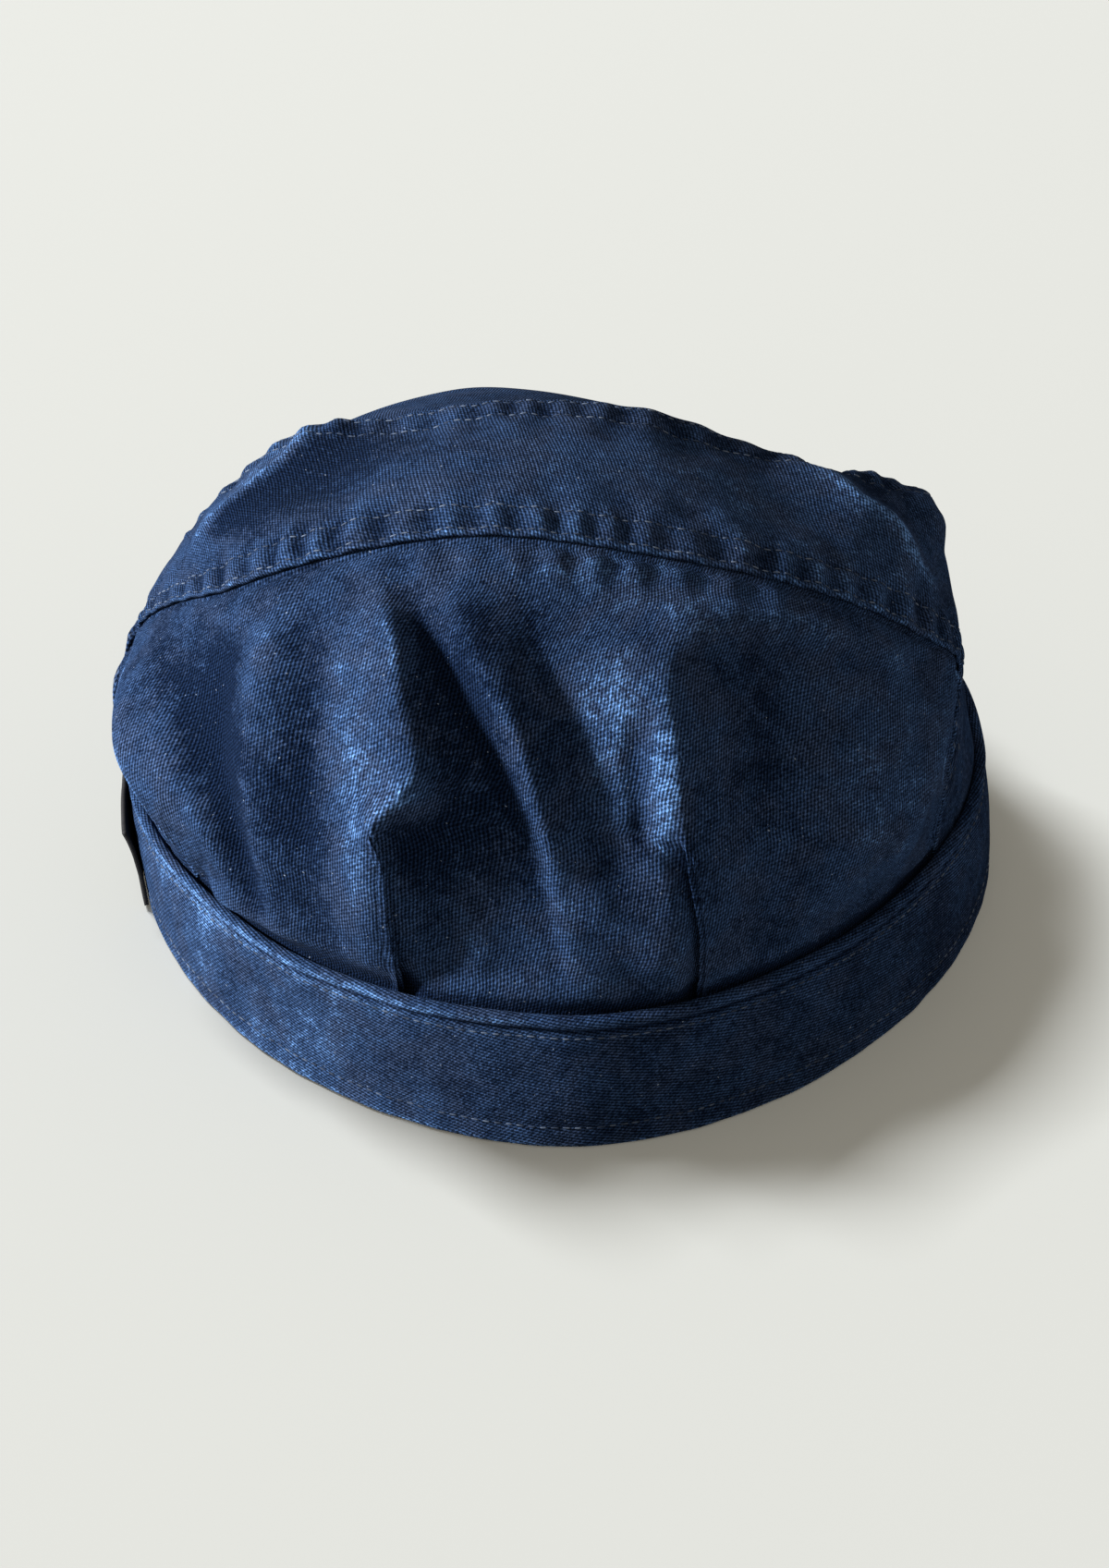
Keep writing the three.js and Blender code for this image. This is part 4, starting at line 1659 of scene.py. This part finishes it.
    def wear_and_painted_light(self, points: Array, across: Array, offset: Array) -> Array:
        """How worn the strip is: on its creases and puckers, in soft patches, and along both edges.

        Lines beside the creases are painted light on their lit faces and painted shade on their shaded faces.

        Args:
            points: the strip's points.
            across: shares from ear to ear, one for each column.
            offset: ways from the back edge, one for each row.

        Returns:
            One value for each point.
        """
        scale = (self.crown.seam_length, self.crown.strip_width)
        across, offset = np.broadcast_arrays(across[:, None], offset[None, :])
        share = offset / self.crown.strip_width
        edges = self.worn_edge.at(np.minimum(offset, self.crown.strip_width - offset))
        patches = sum(patch.at(across, share) for patch in self.patches)
        lines = sum(line.heights(across, 1 - share, scale) for line in self.wear_and_painted_light_lines)
        return self.ridges.at(points) + edges + patches + lines

    def stitches(self, name: str, offset: float) -> bpy.types.Object:
        """One row of stitches along the strip."""
        across = np.linspace(*self.row_range, self.row_points)
        ways = (offset, offset + self.row_probe, offset - self.row_probe)
        line, inward, outward = (self.points(across, np.full_like(across, way)) for way in ways)
        normals = unit(np.cross(inward - outward, np.gradient(line, axis=0)))
        facing = (normals * self.crown.outward(across, self.place(across, offset))).sum(axis=-1)
        row = StitchRow(name).build(line, normals * np.sign(facing)[:, None])
        dress(row, Slot.STRIP, self.thread)
        return row


@dataclass
class FrontPanel:
    """Front of the crown, finished plainly, with soft wrinkles and the ends of the creases over the top.

    The fall is to the right of its middle, from a left to a right share across and from top to foot in
    millimetres below the seam.
    """

    crown: CrownForm
    finish: WashedCloth
    creases: CrownCreases = CrownCreases()
    edge: SeamEdge = SeamEdge()
    wall: float = 1.3
    facing: Point = (0.0, 0.8, 0.6)
    across_steps: int = 200
    down_steps: int = 90
    held_opens: Pair = (0.0, 14.0)
    held_closes: Pair = (98.0, 106.0)
    fall: float = 5.0
    fall_left: Pair = (0.42, 0.56)
    fall_right: Pair = (0.84, 0.94)
    fall_top: Pair = (1.0, 16.0)
    fall_foot: Pair = (45.0, 95.0)
    wrinkles: Wrinkles = Wrinkles(77, ((1.4, 40.0, 0.0, 0.0), (0.5, 16.0, 0.0, 30.0)))
    pucker: Pucker = Pucker(10.0, 0.5, 9.0, 37)
    ridges: RidgeWear = RidgeWear(0.5, 4, 0.9)

    def build(self) -> bpy.types.Object:
        """Model the panel and dress it.

        Returns:
            The panel.
        """
        edge = self.edge
        lap = edge.lap / self.crown.strip_width
        place = spread((1 + lap, 1.0, 0.0, -1.0), (edge.lap_steps, self.down_steps, edge.tuck_steps))
        across = np.linspace(edge.start, edge.end, self.across_steps)
        across, place = np.meshgrid(across, place, indexing="ij")
        points = self.crown.lifted(across, place, self.relief(across, place))
        wear_and_painted_light = self.ridges.at(points)
        flat = domed_places(points, self.crown, self.facing)
        piece = ClothGrid("front_panel_cloth", points, flat, wear_and_painted_light).build(self.wall)
        dress(piece, Slot.CROWN, self.finish.material(), "front_panel")
        return piece

    def relief(self, across: Array, place: Array) -> Array:
        """Height of the wrinkles, the fallen right side, the creases and the seam.

        Args:
            across: places across the crown.
            place: places along the crown's section.

        Returns:
            Heights outwards, in millimetres.
        """
        x, y = across * self.crown.seam_length, (1 - np.clip(place, 0, 1)) * self.crown.back_length
        lift = window(y, self.held_opens, self.held_closes) * self.wrinkles.heights(x, y)
        fallen = self.fall * window(across, self.fall_left, self.fall_right)
        lift = lift - fallen * smooth_step(y, *self.fall_top) * (1 - smooth_step(y, *self.fall_foot))
        lift = lift + self.creases.heights(self.crown, across, place)
        puckers, groove = self.edge.heights(self.pucker, x, y)
        return lift + (puckers + groove) * (place < 1)


@dataclass
class Band:
    """Turned-up band: a folded strip with a rolled lip, sewn near its top and its rim.

    Dents are wide and ripples small. Lines of wear run along the lip and along the rim, and a line of painted
    shade runs in the crease below the lip; the lip's line is stronger on the lit left as a painted highlight.
    Those on a side are angles from the back. Each patch noise has a share, a squeeze in height, a shift and a
    size.
    """

    form: BandForm
    finish: WashedCloth
    thread: bpy.types.Material
    around_steps: int = 480
    lip: float = 2.6
    lip_bulge: float = 0.5
    top_row: float = 26.2
    low_row: float = 5.0
    row_dip: float = 0.22
    ear_hug: float = 1.2
    hug_depth: float = 14.0
    foot_round: float = 0.9
    below_lip: float = 2.0
    into_lip: float = 0.4
    outer_steps: tuple[int, int] = (32, 8)
    lip_steps: int = 7
    roll_steps: int = 13
    inner_steps: int = 16
    foot_steps: int = 7
    skin: Pair = (0.2, 0.8)
    standing: Pair = (2.0, 12.0)
    seed: int = 61
    dent: float = 0.5
    dent_turns: float = 4.0
    dent_shift: float = 9.0
    dent_rise: float = 0.05
    ripple: float = 0.22
    ripple_size: float = 9.0
    crease: float = 0.45
    crease_below: float = 0.5
    crease_width: float = 0.6
    row_width: float = 0.9
    pucker: Pucker = Pucker(11.0, 0.16, 6.0, 83)
    lip_top: WearAndPaintedLightLine = WearAndPaintedLightLine(0.9, 1.2, 1.0)
    lip_foot: WearAndPaintedLightLine = WearAndPaintedLightLine(0.5, 1.8, 0.9)
    # Painted shade in the crease below the lip
    painted_crease_shade: WearAndPaintedLightLine = WearAndPaintedLightLine(-0.6, 0.4, 0.6)
    rim: WearAndPaintedLightLine = WearAndPaintedLightLine(0.8, 0.0, 1.3)
    least_worn: float = 0.25
    # Painted highlight: the lip's wear is drawn stronger on the lit left side
    left_lip_highlight: WearAndPaintedLightLine = WearAndPaintedLightLine(0.75, -0.75, 0.6)
    patch_side: WearAndPaintedLightLine = WearAndPaintedLightLine(1.0, -0.80, 0.55)
    patch_seed: int = 67
    patch_base: float = 0.54
    patch_spread: float = 0.8
    wide_patch: tuple[float, float, float, float] = (0.35, 0.5, 40.0, 12.0)
    small_patch: tuple[float, float, float, float] = (0.25, 1.0, 9.0, 6.0)
    row_points: int = 1500
    row_probe: float = 0.5
    row_seed: int = 9

    def build(self) -> bpy.types.Object:
        """Model the band and its stitches and dress them.

        Returns:
            The band.
        """
        turn = np.linspace(-math.pi, math.pi, self.around_steps + 1)[:, None]
        inset, height = self.section()
        points = self.points(turn, height[None, :], inset[None, :])
        points[-1] = points[0]
        wear_and_painted_light = self.wear_and_painted_light(turn, height, inset)
        piece = ClothGrid("band_cloth", points, flat_places(points), wear_and_painted_light).build(ring=True)
        dress(piece, Slot.BAND, self.finish.material(), "band")
        named_rows = {"band_stitches_top": self.top_row, "band_stitches_low": self.low_row}
        rows = [self.stitches(name, height) for name, height in named_rows.items()]
        return piece

    def section(self) -> tuple[Array, Array]:
        """Closed section of the band's wall.

        Returns:
            Insets from its outer face, and heights over the rim.
        """
        top, wall, foot = self.form.height, self.form.wall, self.foot_round
        turn = np.linspace(0, math.pi, self.roll_steps)
        lip = top - self.lip + self.into_lip
        outer = spread((foot, top - self.lip - self.below_lip, lip), self.outer_steps)
        lip_up = np.linspace(lip, top - wall / 2, self.lip_steps)[1:]
        inner = np.linspace(top - wall / 2, foot, self.inner_steps)[1:]
        under = np.linspace(0, math.pi, self.foot_steps)[1:-1]
        inset = np.concatenate([
            np.zeros(len(outer)), np.zeros(len(lip_up)), wall / 2 * (1 - np.cos(turn[1:-1])),
            np.full(len(inner), wall), wall / 2 * (1 + np.cos(under)), [0.0],
        ])
        height = np.concatenate([
            outer, lip_up, top - wall / 2 + wall / 2 * np.sin(turn[1:-1]),
            inner, foot * (1 - np.sin(under)), [foot],
        ])
        return inset, height

    def points(self, turn: Array, height: Array, inset: Array) -> Array:
        """Points of the band's surface with its lip, its stitch dips and its soft dents.

        Args:
            turn: angles around the rim from the back.
            height: heights over the rim.
            inset: insets from the outer face.

        Returns:
            One point for each set.
        """
        turn, height, inset = np.broadcast_arrays(turn, height, inset)
        outside = 1 - smooth_step(inset, *self.skin)
        arc = turn * self.form.back
        behind = np.cos(turn / 2) ** 2
        noise = SoftNoise(self.seed)
        dents = noise.at(
            self.dent_turns * np.cos(turn) + self.dent_shift,
            self.dent_turns * np.sin(turn) + self.dent_rise * height + self.dent_shift, 1.0)
        ripples = noise.at(arc, height, self.ripple_size) * behind
        half = self.lip / 2
        roll = self.lip_bulge * swell(height - self.form.height + half, half, 4)
        roll = roll - self.crease * swell(
            height - self.form.height + self.lip + self.crease_below, self.crease_width)
        dips = sum(swell(height - row, self.row_width) for row in (self.top_row, self.low_row))
        lines = self.pucker.heights(arc, height - self.low_row) * behind
        ears = smooth_step(np.sin(turn) ** 2, self.form.ear_starts, self.form.ear_full)
        hug = self.ear_hug * ears * smooth_step(height, self.form.height - self.hug_depth, self.form.height)
        out = outside * (roll - self.row_dip * dips + self.ripple * ripples + lines)
        out = out + self.dent * dents * smooth_step(height, *self.standing) - hug
        return self.form.point(turn, height, inset - out)

    def wear_and_painted_light(self, turn: Array, height: Array, inset: Array) -> Array:
        """How worn the band is: along its lip, its rim and in soft patches on the left.

        The lip is drawn paler on the lit left as a painted highlight, and the crease below it darker as
        painted shade.

        Args:
            turn: angles around the rim from the back, as a column.
            height: heights of the section over the rim.
            inset: insets of the section from the outer face.

        Returns:
            One value for each angle and place of the section.
        """
        below_top = self.form.height - height
        below_lip = below_top - self.lip
        lip = self.lip_top.at(below_top) * (inset < self.form.wall) + self.lip_foot.at(below_lip)
        # Lip wear, stronger on the lit left as a painted highlight
        left = self.least_worn + self.left_lip_highlight.at(turn)
        noise = SoftNoise(self.patch_seed)
        arc = turn * self.form.back
        uneven = sum(
            share * noise.at(arc, height[None, :] * squeeze + shift, size)
            for share, squeeze, shift, size in (self.wide_patch, self.small_patch))
        patch = (self.patch_base + self.patch_spread * uneven) * self.patch_side.at(turn) * (inset == 0)
        return left * lip + self.painted_crease_shade.at(below_lip) + self.rim.at(height) + patch

    def stitches(self, name: str, height: float) -> bpy.types.Object:
        """One row of stitches around the band."""
        turn = np.linspace(-math.pi, math.pi, self.row_points)
        heights = (height, height + self.row_probe)
        line, above = (self.points(turn, np.full_like(turn, each), np.zeros_like(turn)) for each in heights)
        normals = unit(np.cross(np.gradient(line, axis=0), above - line))
        row = StitchRow(name, seed=self.row_seed).build(line, normals)
        dress(row, Slot.BAND, self.thread)
        return row


@dataclass
class Peak:
    """Peak over the brow: two layers of cloth over a stiffener, sewn along its free edge."""

    band: BandForm
    finish: WashedCloth
    thread: bpy.types.Material
    reach: float = 58.0
    half_turn: float = 60.0
    wall: float = 3.0
    arch: float = 5.0
    clearance: float = 0.6
    corner_reach: float = 2.5
    bend: float = 2.2
    power: float = 0.75
    forward: float = 0.75
    across_steps: int = 150
    out_steps: int = 44
    edge_from: float = 0.93
    edge_steps: int = 8
    ridges: RidgeWear = RidgeWear(0.5, 2, 0.3)
    worn_edge: WearAndPaintedLightLine = WearAndPaintedLightLine(0.3, 0.0, 5.0)
    rows_from_edge: Pair = (4.0, 10.0)
    row_end: float = 0.94
    row_points: int = 600
    row_least: float = 0.4
    row_seed: int = 13

    def seat(self, across: Array) -> tuple[Array, Array, Array]:
        """Foot of the peak on the band, the way it points, and its reach, at shares across it."""
        turn = math.pi - across * math.radians(self.half_turn)
        height = self.clearance + self.arch * (1 - across**2)
        seat = self.band.point(turn, height, -self.band.gap)
        radial = unit(seat * np.array([1.0, 1.0, 0.0]))
        ahead = unit(radial * (1 - self.forward) + np.array([0.0, self.forward, 0.0]))
        fullness = np.maximum(1 - np.abs(across) ** self.bend, 0) ** self.power
        return seat, ahead, self.corner_reach + (self.reach - self.corner_reach) * fullness

    def surface(self, across: Array, out: Array, top: bool) -> Array:
        """Points of the top or the underside, some way out from the band in millimetres."""
        seat, ahead, reach = self.seat(across)
        normal = unit(np.cross(ahead, np.gradient(seat, axis=0)))
        normal = normal * np.sign(normal[..., 2:])
        end = self.wall / 2
        drop = end - np.sqrt(np.maximum(end**2 - np.maximum(out - (reach - end), 0) ** 2, 0))
        lift = self.wall - drop if top else drop
        return seat + ahead * out[..., None] + normal * lift[..., None]

    def build(self) -> bpy.types.Object:
        """Model the peak and its stitches and dress them.

        Returns:
            The peak.
        """
        across = np.linspace(-1, 1, self.across_steps)
        reach = self.seat(across)[2]
        share = spread((0.0, self.edge_from, 1.0), (self.out_steps, self.edge_steps))
        tops = [self.surface(across, reach * s, True) for s in share]
        unders = [self.surface(across, reach * s, False) for s in share[-2::-1]]
        points = np.stack(tops + unders + [tops[0]], axis=1)
        wear_and_painted_light = self.ridges.at(points) + self.worn_edge.at(np.arange(points.shape[1]) - len(share))
        piece = ClothGrid("peak_cloth", points, flat_places(points), wear_and_painted_light).build(ring=True)
        dress(piece, Slot.PEAK, self.finish.material(), "peak")
        rows = [self.stitches(index, away) for index, away in enumerate(self.rows_from_edge)]
        return piece

    def stitches(self, index: int, away: float) -> bpy.types.Object:
        """One row of stitches along the free edge, some way in from it."""
        across = np.linspace(-self.row_end, self.row_end, self.row_points)
        out = np.maximum(self.seat(across)[2] - away, self.row_least)
        line = self.surface(across, out, True)
        normals = np.broadcast_to(np.array([0.0, 0.0, 1.0]), line.shape)
        row = StitchRow(f"peak_stitches_{index + 1}", seed=self.row_seed + index).build(line, normals)
        dress(row, Slot.PEAK, self.thread)
        return row


@dataclass
class SideLabel:
    """Bare cloth label on the left of the band, with its upper back corner lifting off."""

    band: BandForm
    finish: BlackTape
    back_turn: float = -78.0
    front_turn: float = -103.0
    bottom: float = 1.0
    top: float = 22.0
    wall: float = 1.0
    corner_lift: float = 1.6
    lift_power: float = 4.0
    length: float = 45.0
    depth: float = 25.0
    ripple: float = 0.18
    ripple_size: float = 7.0
    ripple_seed: int = 91
    waver: float = 0.25
    waver_size: float = 5.0
    waver_seed: int = 93
    along_steps: int = 70
    up_steps: int = 44

    def build(self) -> bpy.types.Object:
        """Model the label and dress it.

        Returns:
            The label.
        """
        along, up = np.linspace(0, 1, self.along_steps), np.linspace(0, 1, self.up_steps)
        along, up = np.meshgrid(along, up, indexing="ij")
        turn = np.radians(self.front_turn + (self.back_turn - self.front_turn) * along)
        way = along * self.length
        ripple = self.ripple * SoftNoise(self.ripple_seed).at(way, up * self.depth, self.ripple_size)
        lift = self.corner_lift * (along * up) ** self.lift_power + ripple
        waver = self.waver * SoftNoise(self.waver_seed).at(way, up, self.waver_size)
        height = self.bottom + (self.top - self.bottom) * up + waver
        points = self.band.point(turn, height, -self.band.gap - self.wall - lift)
        grid = ClothGrid("side_label_tape", points, flat_places(points), np.zeros(along.shape))
        piece = grid.build(self.wall)
        dress(piece, Slot.LABEL, self.finish.material(), "side_label")
        return piece


# Studio


@dataclass(frozen=True)
class PhotoCamera:
    """Camera of the photograph: its aim on the cap, and its lens for an image 1200 wide and 1697 high."""

    long_side: float = 1697.0
    focal: float = 4500.0
    sensor: float = 36.0
    elevation: float = 38.0
    distance: float = 935.0
    aim: Point = (-3.5, 7.1, 14.2)
    near: float = 0.05

    def build(self) -> bpy.types.Object:
        """Make the camera and set it as the scene's.

        Returns:
            The camera.
        """
        tilt = math.radians(self.elevation)
        away = np.array([0.0, -math.cos(tilt), math.sin(tilt)]) * self.distance
        place = CapFrame().metres(np.array(self.aim) + away)
        bpy.ops.object.camera_add(location=place.tolist(), rotation=(math.pi / 2 - tilt, 0.0, 0.0))
        camera = bpy.context.object
        camera.name = "photo_camera"
        camera.data.sensor_fit = "AUTO"
        camera.data.sensor_width = self.sensor
        camera.data.lens = self.focal * self.sensor / self.long_side
        camera.data.clip_start = self.near
        bpy.context.scene.camera = camera
        return camera


@dataclass(frozen=True)
class SoftLight:
    """Square soft light from a direction, aimed at a point over the middle of the rim."""

    name: str
    direction: Point
    distance: float
    size: float
    strength: float
    colour: Colour = (1.0, 1.0, 1.0)
    aim: Point = (0.0, 0.0, 50.0)

    def build(self) -> bpy.types.Object:
        """Make the light, so bright that a white sheet facing it would have the given strength.

        Returns:
            The light.
        """
        aim = CapFrame().metres(np.array(self.aim))
        way = unit(np.array(self.direction))
        bpy.ops.object.light_add(type="AREA", location=(aim + way * self.distance).tolist())
        light = bpy.context.object
        light.name = self.name
        light.data.size = self.size
        light.data.energy = self.strength * (math.pi * self.distance) ** 2
        light.data.color = self.colour
        light.rotation_euler = Vector(way.tolist()).to_track_quat("Z", "Y").to_euler()
        return light


@dataclass
class Studio:
    """Plain pale floor, soft lights and a pale surround.

    The low key light shines on the cap alone. Two lights shine on the floor alone: a high one that draws
    the short soft shadow, and an open one that the cap doesn't block.
    """

    floor: PaleFloor = PaleFloor()
    floor_size: float = 12.0
    surround: Colour = (0.48, 0.435, 0.38)
    key: SoftLight = SoftLight("key_light", (-0.91, -0.09, 0.41), distance=1.6, size=0.18, strength=3.1)
    over: SoftLight = SoftLight(
        "floor_light", (-0.42, 0.35, 0.84), distance=8.0, size=2.2, strength=2.06,
        colour=(0.942, 0.967, 1.0))
    open_sky: SoftLight = SoftLight(
        "open_light", (0.0, 0.0, 1.0), distance=12.0, size=6.0, strength=0.34,
        colour=(1.0, 0.97, 0.86))

    def build(self, pieces: Sequence[bpy.types.Object]) -> None:
        """Make the floor, the lights and the surround.

        Args:
            pieces: the cap's pieces, for the key light.
        """
        bpy.ops.object.select_all(action="DESELECT")
        bpy.ops.mesh.primitive_plane_add(size=self.floor_size, location=(0.0, 0.0, 0.0))
        floor = bpy.context.object
        floor.name = "floor"
        floor.data.materials.append(self.floor.material())
        lit = bpy.data.collections.new("lit_by_key")
        for piece in pieces:
            lit.objects.link(piece)
        self.key.build().light_linking.receiver_collection = lit
        ground = bpy.data.collections.new("lit_from_over")
        ground.objects.link(floor)
        self.over.build().light_linking.receiver_collection = ground
        sky = self.open_sky.build()
        sky.light_linking.receiver_collection = ground
        sky.light_linking.blocker_collection = ground
        world = bpy.data.worlds.new("surround")
        world.use_nodes = True
        backdrop = world.node_tree.nodes["Background"]
        backdrop.inputs["Color"].default_value = opaque(self.surround)
        bpy.context.scene.world = world
        bpy.context.scene.view_settings.view_transform = "Standard"


def main() -> None:
    """Build the cap, the camera and the studio."""
    logging.basicConfig(level=logging.INFO, format="%(name)s %(message)s")
    band = BandForm()
    crown = CrownForm(band)
    thread = SewingThread().material()
    dark_thread = SewingThread("band_thread", DARK_THREAD, DARK_THREAD_DULLED).material()
    canvas = WashedCloth("crown_canvas")
    strip = WashedCloth("strip_canvas")
    twill = WashedCloth("band_twill", waves=TWILL_WAVES, fade=TWILL_FADE)
    PhotoCamera().build()
    before = set(bpy.data.objects)
    BackPanel(crown, canvas).build()
    TopStrip(crown, strip, thread).build()
    FrontPanel(crown, canvas).build()
    Band(band, twill, dark_thread).build()
    Peak(band, WashedCloth("peak_canvas"), thread).build()
    SideLabel(band, BlackTape()).build()
    Studio().build([piece for piece in bpy.data.objects if piece not in before])


if __name__ == "__main__":
    main()
